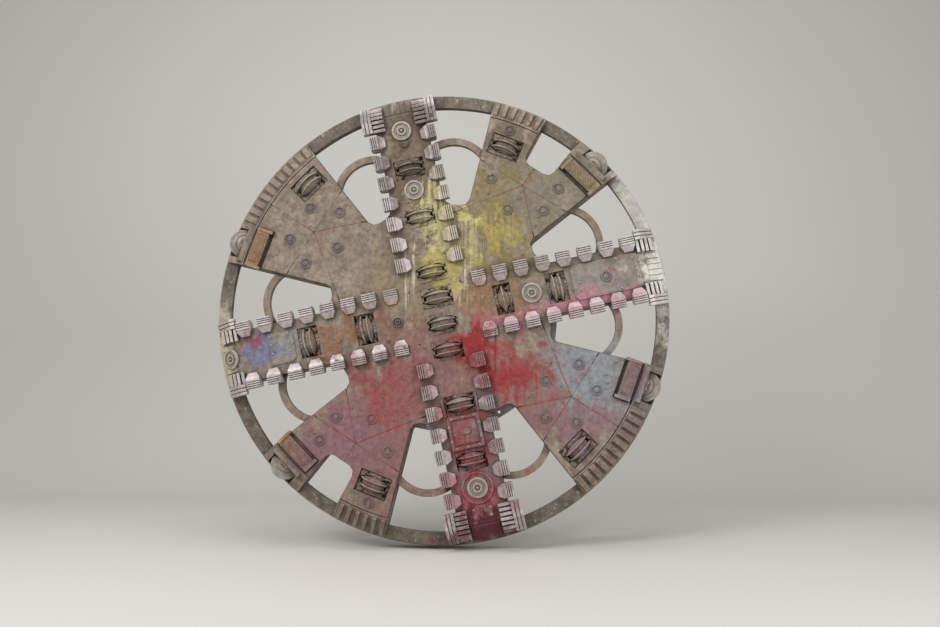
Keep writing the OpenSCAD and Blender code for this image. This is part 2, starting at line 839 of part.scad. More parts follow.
// A framed hatch between the two cutters, with a lifting boss.
module hatch() {
    boss_u = (hatch_in + hatch_out - hatch_frame / 2) / 2;
    linear_extrude(hatch_t) hatch_outline(0);
    linear_extrude(hatch_frame_t) difference() {
        hatch_outline(0);
        hatch_outline(hatch_frame);
    }
    linear_extrude(hatch_lid_t) hatch_outline(hatch_lid_in);
    for (side = [-1, 1])
        translate([boss_u, side * hatch_boss_r, 0]) cylinder(r = hatch_boss_r, h = hatch_boss_h);
    translate([boss_u - hatch_boss_r, -hatch_boss_r, 0])
        cube([2 * hatch_boss_r, 2 * hatch_boss_r, hatch_boss_h]);
}

module hatch_outline(inset) {
    cover_outline(hatch_in + inset, hatch_out - inset, hatch_half - inset, cover_corner / 2);
}

// The top of a grooved head between y_out and y_in, at height z.
function grooved(y_out, y_in, z) =
    let (pitch = (y_in - y_out) / (scraper_grooves + 1), w = -pitch * 0.42, depth = 16)
    [
        for (i = [1:scraper_grooves], p = [[w / 2, 0], [w / 2, -depth], [-w / 2, -depth], [-w / 2, 0]])
            [y_out + i * pitch + p[0], z + p[1]]
    ];

// A scraper h high: a grooved cutting head on the outward side with a sloping
// half hexagon behind it. Where the spoke stands free, its lip reaches over the
// spoke's side.
module scraper(with_lip, h) {
    half = scraper_l / 2;
    back = scraper_w / 2;
    inside = scraper_y - spoke_half - paint;
    low = with_lip ? [[-inside, 0], [-inside, -scraper_lip], [back - 40, -scraper_lip], [back, -30]]
                   : [[back, 0]];
    color(tool_steel) {
        intersection() {
            linear_extrude(h)
                polygon([
                    [-half, 15], [half, 15], [half, -back * 0.35], [half * 0.6, -back],
                    [-half * 0.6, -back], [-half, -back * 0.35]
                ]);
            rotate([90, 0, 90])
                linear_extrude(scraper_l, center = true)
                    polygon([
                        [15, 0], [15, h * 0.9], [-back * 0.35, h * 0.8], [-back, h * 0.45], [-back, 0]
                    ]);
        }
        rotate([90, 0, 90])
            linear_extrude(scraper_l, center = true)
                polygon(concat(
                    [[-10, 0]], low, [[back, h - 20], [back - 8, h]], grooved(back, -10, h), [[-10, h]]
                ));
    }
}

module scraper_row(row) {
    turned() rotate([0, 0, row[0]])
        for (r = [rim_r - row[1]:-scraper_pitch:row[2]], side = [0, 1])
            let (is_free = r - scraper_l / 2 > middle_r + corner_c, is_last = r - scraper_pitch < row[2])
                mirror([0, side, 0]) translate([r, scraper_y, face_z + paint])
                    scraper(is_free, is_last && row[4] ? worn_h : scraper_h);
}

// A layer h thick over the end of a spoke and its bevel, from r_0 out.
module end_layer(r_0, h, v_0, v_1) {
    r_1 = rim_r - gauge_scraper_out;
    translate([0, v_1, 0]) rotate([90, 0, 0])
        linear_extrude(v_1 - v_0)
            polygon([
                [r_0, rim_front + bevel_edge], [r_1, rim_front + bevel_edge],
                [r_1, bevel_z(r_1) + h * 0.8], [bevel_r, face_z + h], [r_0, face_z + h]
            ]);
}

// A gauge scraper: a long grooved bar on the outward side, and ribs across
// its inner side on a thin base.
module gauge_scraper(r_0) {
    r_1 = rim_r - gauge_scraper_out;
    v_in = scraper_y + gauge_bar_in;
    v_rib = v_in - gauge_rib_l;
    strip = (gauge_bar_w - 2 * gauge_groove) / 3;
    difference() {
        union() {
            end_layer(r_0, gauge_bar_h - 22, v_in, v_in + gauge_bar_w);
            for (i = [0:2])
                let (v = v_in + i * (strip + gauge_groove))
                    end_layer(r_0, gauge_bar_h, v, v + strip);
            end_layer(r_0, 30, v_rib, v_in + 1);
            for (r = [r_0:gauge_rib_pitch:r_1 - gauge_rib_t])
                let (z = rim_front + bevel_edge)
                    translate([r, v_rib, z])
                        cube([gauge_rib_t, gauge_rib_l + 1, bevel_z(r) + gauge_rib_h - z]);
        }
        face_envelope(2 * seat, paint);
    }
}

module gauge_scrapers() {
    color(tool_steel) turned()
        for (row = SCRAPER_ROWS, side = [0, 1])
            rotate([0, 0, row[0]]) mirror([0, side, 0]) gauge_scraper(rim_r - row[3]);
}

module gauge_housings() {
    color(steel) turned()
        for (a = GAUGE_CUTTERS)
            at_gauge(a) difference() {
                gauge_housing_block(0);
                pocket(twin_hub_w, gauge_rear - 1, gauge_front + 1);
            }
}

module gauge_guards() {
    color(rust) turned()
        for (a = GAUGE_CUTTERS)
            rotate([0, 0, a]) {
                translate([guard_r - guard_w / 2, -guard_l / 2, plate_front + paint])
                    cube([guard_w, guard_l, wear_t + guard_h]);
                for (side = [-1, 1])
                    translate([guard_edge_r, side * (guard_reach - guard_cap_t / 2), plate_front + paint])
                        translate([0, -guard_cap_t / 2, 0])
                            cube([guard_cap_w, guard_cap_t, wear_t + guard_h + guard_cap_h]);
            }
}

module face_buttons() {
    color(worn_steel) turned() {
        for (b = BUTTONS)
            rotate([0, 0, b[1]]) translate([b[0], 0, face_z + paint]) button(b[2]);
        for (mid = [45:90:315], p = concat(PLUGS, is_notched(mid) ? NOTCH_PLUGS : PLAIN_PLUGS))
            rotate([0, 0, mid + p[1]]) translate([p[0], 0, face_z + paint]) plug();
        rotate([0, 0, COVERS[0][0]])
            translate([(COVERS[0][1] + COVERS[0][2]) / 2, 0, face_z + COVERS[0][4] + 2 * paint]) plug();
        end_at = on_bevel(end_button_s, spoke_strip_t + seat);
        rotate([0, 0, 180]) translate([end_at[0], 0, end_at[1]])
            rotate([0, -atan2(bevel_run[1], bevel_run[0]), 0]) button(end_button_r);
    }
}

// The boss of a grout and foam port, with its plug sunk in a ring.
module plug() {
    rotate_extrude()
        polygon([
            [0, 0], [plug_r, 0], [plug_r, 14], [plug_r - 16, 18], [plug_r - 20, 6],
            [plug_r - 40, 6], [plug_r - 44, 14], [12, 16], [0, 16]
        ]);
}

module button(r) {
    rotate_extrude()
        polygon([
            [0, 0], [r, 0], [r, 22], [r * 0.78, 30], [r * 0.74, 14], [r * 0.52, 14],
            [r * 0.48, 34], [r * 0.30, 34], [r * 0.26, 18], [r * 0.16, 18], [r * 0.10, 44], [0, 44]
        ]);
}

bearing_outer_ring();
bearing_inner_ring();
ring_gear();
head_flange();
support_legs();
rotary_joint_pipe();
mixing_bars();
centre_block();
spoke(0, spoke_half);  // spoke_right
spoke(90, centre_half);  // spoke_top
spoke(180, spoke_half);  // spoke_left
spoke(270, centre_half);  // spoke_bottom
sector_body(45);  // sector_1
sector_body(135);  // sector_2
sector_body(225);  // sector_3
sector_body(315);  // sector_4
wear_plates();
rim_segment(45);  // rim_1
rim_segment(135);  // rim_2
rim_segment(225);  // rim_3
rim_segment(315);  // rim_4
grizzly_bars();
bevel_bars();
face_covers();
scraper_row(SCRAPER_ROWS[0]);  // scrapers_right
scraper_row(SCRAPER_ROWS[1]);  // scrapers_top
scraper_row(SCRAPER_ROWS[2]);  // scrapers_left
scraper_row(SCRAPER_ROWS[3]);  // scrapers_bottom
gauge_scrapers();
gauge_housings();
gauge_guards();
face_buttons();
cutter_shafts();
centre_disc(0);  // disc_centre_1
centre_disc(1);  // disc_centre_2
centre_disc(2);  // disc_centre_3
centre_disc(3);  // disc_centre_4
spoke_disc(0);  // disc_right_1
spoke_disc(1);  // disc_right_2
spoke_disc(2);  // disc_top_1
spoke_disc(3);  // disc_top_2
spoke_disc(4);  // disc_left_1
spoke_disc(5);  // disc_left_2
spoke_disc(6);  // disc_bottom_1
spoke_disc(7);  // disc_bottom_2
sector_disc(0);  // disc_sector_1
sector_disc(1);  // disc_sector_2
sector_disc(2);  // disc_sector_3
sector_disc(3);  // disc_sector_4
gauge_disc(0);  // disc_gauge_1
gauge_disc(1);  // disc_gauge_2
gauge_disc(2);  // disc_gauge_3
gauge_disc(3);  // disc_gauge_4
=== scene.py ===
# %% [markdown]
# # Dressing a tunnel boring machine cutterhead
#
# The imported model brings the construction: spokes, sector plates, rim, scrapers,
# disc cutters and the main bearing's rings. This lesson gives every surface its
# finish, adds the small pieces that a workshop would weld or bolt on, and sets
# the camera where the photographer stood.

import json
import math

import bpy
import numpy as np
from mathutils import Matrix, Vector
from mathutils.bvhtree import BVHTree


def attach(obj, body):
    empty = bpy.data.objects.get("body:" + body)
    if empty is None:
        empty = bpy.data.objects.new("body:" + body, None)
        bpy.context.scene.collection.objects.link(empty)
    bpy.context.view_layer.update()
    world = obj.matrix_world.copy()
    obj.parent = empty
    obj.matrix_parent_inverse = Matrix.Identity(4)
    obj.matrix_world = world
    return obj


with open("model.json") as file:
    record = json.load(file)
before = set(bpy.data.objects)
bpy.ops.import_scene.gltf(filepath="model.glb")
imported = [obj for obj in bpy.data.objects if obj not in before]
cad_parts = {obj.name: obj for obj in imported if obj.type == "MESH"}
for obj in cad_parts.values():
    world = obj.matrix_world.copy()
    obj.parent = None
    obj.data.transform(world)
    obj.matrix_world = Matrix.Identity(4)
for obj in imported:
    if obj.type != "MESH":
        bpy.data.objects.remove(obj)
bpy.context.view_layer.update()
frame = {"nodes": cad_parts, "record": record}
nodes = frame["nodes"]

# %% [markdown]
# ## Camera
#
# The photographer stands on the shaft's floor about twelve metres in front of
# the face, a little to the right of its axis and well below it, and tilts the
# camera up. A camera can be aimed with a Track To constraint or by its angles.
# Angles are chosen here.

# %% Place the camera
FACE_Y = -1.30
CAMERA_DISTANCE = 12.02  # in front of the face
CAMERA_RIGHT = 1.02
CAMERA_BELOW = 1.31
CAMERA_PITCH = 6.16
CAMERA_YAW = 2.76
SENSOR_W = 36.0
FOCAL_PX = 818.0
PICTURE_W_PX = 940.0


def place_camera():
    data = bpy.data.cameras.new("camera")
    data.sensor_width = SENSOR_W
    data.lens = SENSOR_W * FOCAL_PX / PICTURE_W_PX
    data.clip_end = 200.0
    camera = bpy.data.objects.new("camera", data)
    camera.location = (CAMERA_RIGHT, FACE_Y - CAMERA_DISTANCE, -CAMERA_BELOW)
    camera.rotation_euler = (math.radians(90 + CAMERA_PITCH), 0, math.radians(CAMERA_YAW))
    bpy.context.scene.collection.objects.link(camera)
    bpy.context.scene.camera = camera
    return camera


camera = place_camera()
print("lens: %.1f mm" % camera.data.lens)

# %% [markdown]
# ## Floor, sweep and light
#
# The head is shown as in a studio, on a plain pale floor that sweeps up behind
# it. The light is soft: a big lamp on each side of the camera, one above, and a
# dim world, so that a colour renders about as it is written. The floor could be
# one plane, but a sweep without a seam keeps the horizon from cutting the rim.

# %% Floor and sweep
FLOOR_Z = -3.46
SWEEP_NEAR, SWEEP_FAR = -24.0, 9.0
SWEEP_RADIUS = 4.0
SWEEP_TOP = 14.0
SWEEP_HALF_W = 30.0
SWEEP_STEPS = 16
SWEEP_COLOUR = (0.62, 0.60, 0.57)


def grid_quads(rows, columns):
    """Quads between neighbouring points of a grid that runs row by row."""
    index = np.arange(rows * columns).reshape(rows, columns)
    a, b, c, d = index[:-1, :-1], index[:-1, 1:], index[1:, 1:], index[1:, :-1]
    return np.stack([a.ravel(), b.ravel(), c.ravel(), d.ravel()], 1)


def make_sweep():
    """The sweep's profile is a straight floor, a quarter circle and a straight wall."""
    turn = np.linspace(0, math.pi / 2, SWEEP_STEPS)
    y = [SWEEP_NEAR, *(SWEEP_FAR - SWEEP_RADIUS + SWEEP_RADIUS * np.sin(turn)), SWEEP_FAR]
    z = [FLOOR_Z, *(FLOOR_Z + SWEEP_RADIUS * (1 - np.cos(turn))), SWEEP_TOP]
    points = np.array([[x, py, pz] for py, pz in zip(y, z) for x in (-SWEEP_HALF_W, SWEEP_HALF_W)])
    mesh = bpy.data.meshes.new("studio_sweep")
    mesh.from_pydata(points.tolist(), [], grid_quads(len(y), 2).tolist())
    mesh.update()
    sweep = bpy.data.objects.new("studio_sweep", mesh)
    bpy.context.scene.collection.objects.link(sweep)
    material = bpy.data.materials.new("studio_sweep")
    material.use_nodes = True
    shader = material.node_tree.nodes["Principled BSDF"]
    shader.inputs["Base Color"].default_value = (*SWEEP_COLOUR, 1)
    shader.inputs["Roughness"].default_value = 0.9
    sweep.data.materials.append(material)
    for polygon in sweep.data.polygons:
        polygon.use_smooth = True


make_sweep()

# %% Lamps and world
# name, place, aims at, size in metres, power in watts
LAMPS = [
    ("key", (-8.0, -13.0, 7.5), (0, 0, 0), 6.0, 1500),
    ("fill", (9.5, -11.0, 2.5), (0, 0, 0), 7.0, 650),
    ("top", (0.0, -4.0, 10.0), (0, 0, 0), 8.0, 500),
]
WORLD_COLOUR = (1.0, 0.99, 0.97)
WORLD_STRENGTH = 0.45


def add_lamps():
    for name, place, target, size, power in LAMPS:
        data = bpy.data.lights.new(name, "AREA")
        data.size = size
        data.energy = power
        lamp = bpy.data.objects.new(name, data)
        lamp.location = place
        lamp.rotation_euler = (Vector(target) - Vector(place)).to_track_quat("-Z", "Y").to_euler()
        bpy.context.scene.collection.objects.link(lamp)
    world = bpy.data.worlds.new("studio")
    world.use_nodes = True
    background = world.node_tree.nodes["Background"].inputs
    background["Color"].default_value = (*WORLD_COLOUR, 1)
    background["Strength"].default_value = WORLD_STRENGTH
    bpy.context.scene.world = world


add_lamps()
bpy.context.scene.view_settings.view_transform = "Standard"
print("lamps:", len(LAMPS))

# %% [markdown]
# ## Shader tools
#
# Every finish below is a tree of nodes. A few helpers keep the trees readable:
# one adds a node and wires its inputs, the short ones name a single step, and
# the last three start a group with named inputs and outputs, end it and use it.

# %% Helpers for shader trees
KIND_OF = {**dict.fromkeys(("Place", "Middle", "Reach", "Normal"), "Vector"),
           **dict.fromkeys(("Colour", "Steel", "Dry", "Damp"), "Color")}


def give(socket, value):
    """Sets a socket's value; a colour gets its alpha here."""
    socket.default_value = (*value, 1) if socket.type == "RGBA" else value


def wire(tree, made, inputs):
    """An input is a number, a colour, a vector or another node's output."""
    for key, value in inputs.items():
        if isinstance(value, bpy.types.NodeSocket):
            tree.links.new(value, made.inputs[key])
        else:
            give(made.inputs[key], value)
    return made


def add(tree, kind, inputs=None, **settings):
    made = tree.nodes.new("ShaderNode" + kind)
    for key, value in settings.items():
        setattr(made, key, value)
    return wire(tree, made, inputs or {})


def math_of(tree, operation, a, b=0.0):
    return add(tree, "Math", {0: a, 1: b}, operation=operation).outputs[0]


def times(tree, a, b):
    return math_of(tree, "MULTIPLY", a, b)


def less(tree, a, b):
    return math_of(tree, "SUBTRACT", a, b)


def plus(tree, a, b):
    return math_of(tree, "ADD", a, b)


def vector_of(tree, operation, a, b, output=0):
    return add(tree, "VectorMath", {0: a, 1: b}, operation=operation).outputs[output]


def split(tree, vector):
    return add(tree, "SeparateXYZ", {0: vector}).outputs


def seen_flat(tree, place):
    """A place with its depth left out, as it is seen from the front."""
    axis = split(tree, place)
    return add(tree, "CombineXYZ", {"X": axis["X"], "Z": axis["Z"]}).outputs[0]


def remap(tree, value, low, high, to_low=0.0, to_high=1.0):
    """Clamped and smooth: low becomes to_low and high becomes to_high."""
    inputs = {"Value": value, "From Min": low, "From Max": high, "To Min": to_low, "To Max": to_high}
    return add(tree, "MapRange", inputs, interpolation_type="SMOOTHSTEP").outputs[0]


def blend_colour(tree, factor, a, b):
    return add(tree, "Mix", {0: factor, 6: a, 7: b}, data_type="RGBA").outputs[2]


def noise(tree, place, scale, detail=4.0, roughness=0.55, stretch=None, shift=(0, 0, 0)):
    """Noise on a place; stretch lengthens its grain along an axis."""
    if stretch is not None or any(shift):
        placed = add(tree, "Mapping", {"Vector": place, "Location": shift, "Scale": stretch or (1, 1, 1)})
        place = placed.outputs[0]
    inputs = {"Vector": place, "Scale": scale, "Detail": detail, "Roughness": roughness}
    return add(tree, "TexNoise", inputs).outputs["Fac"]


def new_group(name, inputs, outputs):
    """Starts a group: its tree and its inputs. Sockets that KIND_OF doesn't name are numbers."""
    tree = bpy.data.node_groups.new(name, "ShaderNodeTree")
    for way, labels in (("INPUT", inputs), ("OUTPUT", outputs)):
        for label in labels.split():
            kind = "NodeSocket" + KIND_OF.get(label, "Float")
            tree.interface.new_socket(name=label, in_out=way, socket_type=kind)
    return tree, tree.nodes.new("NodeGroupInput").outputs


def end_group(tree, **results):
    wire(tree, tree.nodes.new("NodeGroupOutput"), results)
    return tree


def use_group(tree, group, **inputs):
    made = tree.nodes.new("ShaderNodeGroup")
    made.node_tree = group
    return wire(tree, made, inputs).outputs

# %% [markdown]
# ## The model's places
#
# The marks and the small pieces below lie at known places of the model. All
# places are written as the head is drawn: u out along a spoke, v across it and
# h in front of the bearing's rear face, turned by an angle from the right spoke.

# %% Sizes of the model, in metres
FACE_H = 1.300
HEAD_TURN = 12.2
RIM_R = 3.400
RIM_FRONT_H = 1.110
SPOKE_HALF = 0.385
SECTOR_HALF = 18.75
SPOKES, SECTORS = (0, 90, 180, 270), (45, 135, 225, 315)
DISC_H = 1.234
CLAMP_FRONT, CLAMP_BOLT_V = 0.050, 0.045
GAUGE_R, GAUGE_H, GAUGE_TILT, GAUGE_HALF = 3.220, 1.150, 60.0, 0.125
# radius, angle from the right spoke, half the distance between the clamps
CUTTERS = np.array([
    (0.640, 90, 0.125), (0.240, 90, 0.125), (-0.160, 90, 0.125), (-0.560, 90, 0.125),
    (0.960, 0, 0.105), (1.770, 0, 0.125), (1.490, 90, 0.125), (2.250, 90, 0.125),
    (1.130, 180, 0.125), (2.000, 180, 0.125), (1.380, 270, 0.125), (2.190, 270, 0.125),
    (2.690, 56.6, 0.125), (2.820, 123.2, 0.125), (2.690, 236.6, 0.125), (2.820, 303.2, 0.125),
])
GAUGE_ANGLES = (32.0, 148.0, 212.0, 328.0)
# radius, angle, outer radius of the button
BUTTONS = np.array([(1.910, 90, 0.150), (2.850, 90, 0.150), (1.385, 0, 0.150), (2.600, 270, 0.150)])
# the button on the left spoke's bevel
END_BUTTON = (3.190, 180, 0.150)
# radius and angle of the plugs, on both kinds of plate
PLUGS = np.array(
    [(r, mid + a) for mid in SECTORS for r, a in ((2.170, 12.3), (2.170, -12.3), (1.850, 0))]
    + [(2.550, mid + a) for mid in (135, 315) for a in (6.3, -6.3)]
    + [(r, mid + a) for mid in (45, 225) for r, a in ((2.570, -10.6), (2.955, 12.2))])
# where the wear plates' seams meet on each sector, and the seams' turns from straight out
SEAM_R = 2.280
SEAM_TURNS = {"out": 0, "right": -90, "left": 90, "inner left": 144, "inner right": 224}

# %% [markdown]
# ## Stain: one patch of colour with a torn edge
#
# Dye from the breakthrough has run over the face in patches. A patch could be
# painted on an image, but here it is a formula: the distance from its middle,
# measured in its own reach along x and z, plus a grain that tears its edge.

# %% Stain group
# where the colour ends and where it is full, in reaches, and how far the grain tears it
STAIN_EDGE = (1.15, 0.45)
STAIN_TEAR = 5.0


def stain_group():
    tree, given = new_group("stain", "Place Middle Reach Grain Ragged Strength", "Mask")
    from_middle = vector_of(tree, "SUBTRACT", given["Place"], given["Middle"])
    in_reach = vector_of(tree, "DIVIDE", from_middle, given["Reach"])
    length = add(tree, "VectorMath", {0: in_reach}, operation="LENGTH").outputs["Value"]
    torn = times(tree, less(tree, given["Grain"], 0.5), given["Ragged"])
    distance = plus(tree, length, times(tree, torn, STAIN_TEAR))
    return end_group(tree, Mask=times(tree, remap(tree, distance, *STAIN_EDGE), given["Strength"]))


STAIN = stain_group()

# %% [markdown]
# ## Drips: narrow runs below a place
#
# Liquid that ran down the face left runs of many widths. They are noise whose
# grain is stretched upright, cut off by a threshold, inside a soft window that
# starts sharply at the top and dies away towards its foot.

# %% Drip group
# the grain's threshold outside the window, and how much lower it is inside
DRIP_LEVEL, DRIP_DROP = 0.74, 0.24


def drip_group():
    tree, given = new_group("drips", "Place Streaks X Top Half_width Length Strength", "Mask")
    axis = split(tree, given["Place"])
    off = math_of(tree, "ABSOLUTE", less(tree, axis["X"], given["X"]))
    across = remap(tree, math_of(tree, "DIVIDE", off, given["Half_width"]), *STAIN_EDGE)
    down = math_of(tree, "DIVIDE", less(tree, given["Top"], axis["Z"]), given["Length"])
    start = remap(tree, down, -0.06, 0.10)
    end = remap(tree, down, 1.05, 0.30)
    window = times(tree, across, times(tree, start, end))
    level = less(tree, DRIP_LEVEL, times(tree, window, DRIP_DROP))
    runs = remap(tree, less(tree, given["Streaks"], level), -0.02, 0.05)
    mask = times(tree, runs, remap(tree, window, 0.0, 0.2))
    return end_group(tree, Mask=times(tree, mask, given["Strength"]))


DRIP = drip_group()

# %% [markdown]
# ## Dye wash: all the patches and drips over a base colour
#
# Yellow dye surrounds the inner top spoke, red and pink dye covers the bottom
# spoke and runs over the lower plates, and the lower right plate has stayed
# blue grey. The places are metres on the face, seen from the front.

# %% Dye wash group
OCHRE = (0.180, 0.140, 0.052)
YELLOW = (0.320, 0.255, 0.062)
PALE_YELLOW = (0.47, 0.43, 0.20)
OLIVE = (0.165, 0.148, 0.105)
CREAM = (0.48, 0.43, 0.31)
DEEP_RED = (0.24, 0.012, 0.014)
RED = (0.25, 0.045, 0.042)
PINK = (0.205, 0.098, 0.092)
ROSE = (0.42, 0.17, 0.21)
LILAC = (0.185, 0.112, 0.128)
MAUVE = (0.205, 0.106, 0.118)
BLUE_GREY = (0.205, 0.230, 0.255)
GREY = (0.230, 0.222, 0.212)
BLUE = (0.125, 0.140, 0.255)
RUST = (0.22, 0.100, 0.050)
BROWN = (0.085, 0.052, 0.026)
UMBER = (0.078, 0.062, 0.048)
TAN = (0.215, 0.160, 0.095)
RED_BROWN = (0.175, 0.085, 0.065)
CRIMSON = (0.33, 0.040, 0.060)
OLD_RED = (0.085, 0.004, 0.012)
DRY_PALE = (0.70, 0.69, 0.63)

# colour, middle x and z, reach x and z, ragged, strength
STAINS = [
    (UMBER, -1.60, 1.30, 1.45, 1.10, 0.3, 0.16),
    (UMBER, -0.62, 3.00, 0.80, 0.34, 0.4, 0.80),
    (BROWN, -0.45, 2.42, 0.55, 0.95, 0.4, 0.62),
    (BROWN, 1.15, 2.55, 0.75, 0.35, 0.7, 0.60),
    (TAN, -0.55, 0.38, 0.75, 0.55, 0.6, 0.75),
    (RUST, 0.75, 0.20, 0.75, 0.45, 0.8, 0.60),
    (RUST, -1.52, -0.34, 0.45, 0.36, 0.9, 0.85),
    (RED_BROWN, -0.78, -0.22, 0.45, 0.28, 0.7, 0.75),
    (GREY, -2.25, -0.48, 0.30, 0.32, 0.5, 0.70),
    (OLIVE, 1.45, 1.95, 0.95, 0.85, 0.4, 0.75),
    (OCHRE, 0.62, 1.38, 0.72, 0.85, 0.9, 0.75),
    (YELLOW, 0.84, 1.20, 0.40, 0.22, 1.2, 0.70),
    (PALE_YELLOW, 0.10, 1.10, 0.40, 0.75, 1.2, 0.72),
    (YELLOW, 0.02, 0.62, 0.30, 0.28, 1.2, 0.60),
    (OCHRE, 1.20, 0.70, 0.80, 0.20, 0.5, 0.60),
    (GREY, 2.40, 0.50, 0.70, 0.34, 0.3, 0.60),
    (BLUE_GREY, 2.20, -1.05, 0.95, 0.85, 0.4, 0.85),
    (PINK, -0.95, -1.75, 1.20, 1.25, 0.4, 0.95),
    (MAUVE, -1.45, -1.95, 0.80, 0.75, 0.5, 0.80),
    (RED, -0.62, -1.02, 0.70, 0.55, 0.8, 0.82),
    (PINK, 0.10, -0.80, 1.15, 0.75, 0.5, 0.85),
    (PINK, 1.20, -1.35, 0.85, 0.80, 0.6, 0.80),
    (LILAC, 0.50, -2.20, 0.60, 1.10, 0.5, 0.85),
    (MAUVE, 2.10, -1.68, 0.80, 0.45, 0.6, 0.75),
    (CRIMSON, 0.42, -2.62, 0.46, 0.52, 2.0, 0.62),
    (RED, 0.78, -0.74, 0.55, 0.42, 0.9, 0.62),
    (RED, 1.24, -1.02, 0.36, 0.36, 1.0, 0.42),
    (DEEP_RED, 0.56, -0.50, 0.28, 0.42, 0.8, 0.95),
    (DEEP_RED, 1.02, -0.98, 0.40, 0.24, 1.4, 0.50),
    (RED, 0.30, -1.75, 0.42, 0.35, 1.3, 0.60),
    (OLD_RED, 0.60, -3.15, 0.55, 0.30, 0.8, 0.92),
    (MAUVE, 2.76, -1.00, 0.36, 0.36, 0.5, 0.75),
    (ROSE, 1.05, -0.14, 0.50, 0.17, 0.6, 0.60),
    (ROSE, 1.85, 0.03, 0.55, 0.17, 0.6, 0.75),
    (ROSE, 2.70, 0.20, 0.60, 0.18, 0.6, 0.75),
    (BLUE, -2.72, -0.60, 0.32, 0.27, 0.9, 0.80),
    (DEEP_RED, -2.88, -0.44, 0.18, 0.11, 0.9, 0.60),
    (DRY_PALE, 3.22, 0.45, 0.30, 0.95, 0.6, 0.84),
    (DRY_PALE, 2.98, 1.62, 0.45, 0.85, 0.5, 0.60),
    (CREAM, -3.25, -0.55, 0.25, 0.95, 0.6, 0.85),
]

# the same for what stands proud of the face: mud on the top spoke's scrapers
PROUD_STAINS = [
    (UMBER, -0.58, 2.50, 0.95, 1.15, 0.5, 1.00),
]
# middle and reach in y of a stain on everything, and of one on what stands proud
THROUGH, PROUD = (FACE_Y, 4.0), (-1.42, 0.105)

# colour, x, top z, half width, length, strength
DRIPS = [
    (PALE_YELLOW, -0.02, 2.15, 0.34, 2.10, 0.80),
    (PALE_YELLOW, 0.42, 1.50, 0.42, 1.40, 0.42),
    (YELLOW, 0.90, 1.55, 0.42, 0.85, 0.50),
    (CREAM, 0.33, 0.85, 0.16, 1.25, 0.85),
    (CREAM, -0.48, 1.20, 0.14, 1.90, 0.85),
    (RUST, 0.72, 0.55, 0.45, 0.70, 0.60),
    (DEEP_RED, 0.62, -0.20, 0.36, 1.00, 0.90),
    (RED, 1.15, -0.62, 0.55, 1.10, 0.55),
    (DEEP_RED, 1.05, -0.80, 0.55, 0.55, 0.45),
    (RED, -0.75, -0.55, 0.75, 0.90, 0.45),
    (DEEP_RED, 0.45, -1.70, 0.40, 1.60, 0.50),
]
# how far the runs drag a stain in metres, and the depths without dye and with all of it
DYE_FALL = 1.1
DYE_DEPTH = (-1.00, -1.16)


def dye_group():
    """The grain tears the stains, fall drags them down in runs, and streaks are the drips."""
    tree, given = new_group("dye_wash", "Place Colour Amount", "Colour")
    place = given["Place"]
    grain = noise(tree, place, 3.4, 7.0, 0.66)
    pull = noise(tree, place, 1.0, 5.0, 0.6, stretch=(9.0, 1.0, 0.9), shift=(1.3, 0, 4.0))
    fall = times(tree, less(tree, pull, 0.5), DYE_FALL)
    pulled = vector_of(tree, "ADD", place, add(tree, "CombineXYZ", {"Z": fall}).outputs[0])
    streaks = noise(tree, place, 1.0, 4.0, 0.62, stretch=(22.0, 1.0, 0.75), shift=(7.0, 0, 2.0))
    amount = times(tree, given["Amount"], remap(tree, split(tree, place)["Y"], *DYE_DEPTH))
    colour = given["Colour"]
    rows = [(row, PROUD) for row in PROUD_STAINS] + [(row, THROUGH) for row in STAINS]
    for (hue, x, z, reach_x, reach_z, ragged, strength), (y, reach_y) in rows:
        mask = use_group(tree, STAIN, Place=pulled, Middle=(x, y, z), Reach=(reach_x, reach_y, reach_z),
                         Grain=grain, Ragged=ragged, Strength=times(tree, amount, strength))["Mask"]
        colour = blend_colour(tree, mask, colour, hue)
    for hue, x, top, half_width, length, strength in DRIPS:
        mask = use_group(tree, DRIP, Place=place, Streaks=streaks, X=x, Top=top, Half_width=half_width,
                         Length=length, Strength=times(tree, amount, strength))["Mask"]
        colour = blend_colour(tree, mask, colour, hue)
    return end_group(tree, Colour=colour)


DYE = dye_group()
print("stains:", len(STAINS), "drips:", len(DRIPS))

# %% [markdown]
# ## Marker strokes
#
# Someone has drawn red strokes along the wear plates' seams and a ring on the
# right spoke's cover. A stroke is the set of points within half its width of a
# line: the nearest point of the line is found by a dot product, clamped to the
# line's ends, and noise breaks the paint up.

# %% Marker group
MARKER_RED = (0.36, 0.050, 0.035)
MARKER_W = 0.030
MARKER_STRENGTH = 0.8
FAR_AWAY = 9.0
# middle angle of the sector, seam, length in metres
STROKES = [
    (45, "out", 0.26), (45, "inner left", 0.20), (45, "inner right", 0.30),
    (135, "out", 0.20), (135, "inner left", 0.42), (135, "inner right", 0.40),
    (225, "right", 0.65), (225, "inner left", 0.70),
    (315, "out", 0.72), (315, "right", 0.42), (315, "inner left", 0.66), (315, "inner right", 0.80),
]
RING_X, RING_Z, RING_R, RING_THINNING = 2.515, 0.545, 0.095, 1.6


def stroke_ends(mid, seam, length):
    """Start and run of a stroke on the face, as (x, 0, z)."""
    out = math.radians(mid + HEAD_TURN)
    way = out + math.radians(SEAM_TURNS[seam])
    return ((SEAM_R * math.cos(out), 0, SEAM_R * math.sin(out)),
            (length * math.cos(way), 0, length * math.sin(way)))


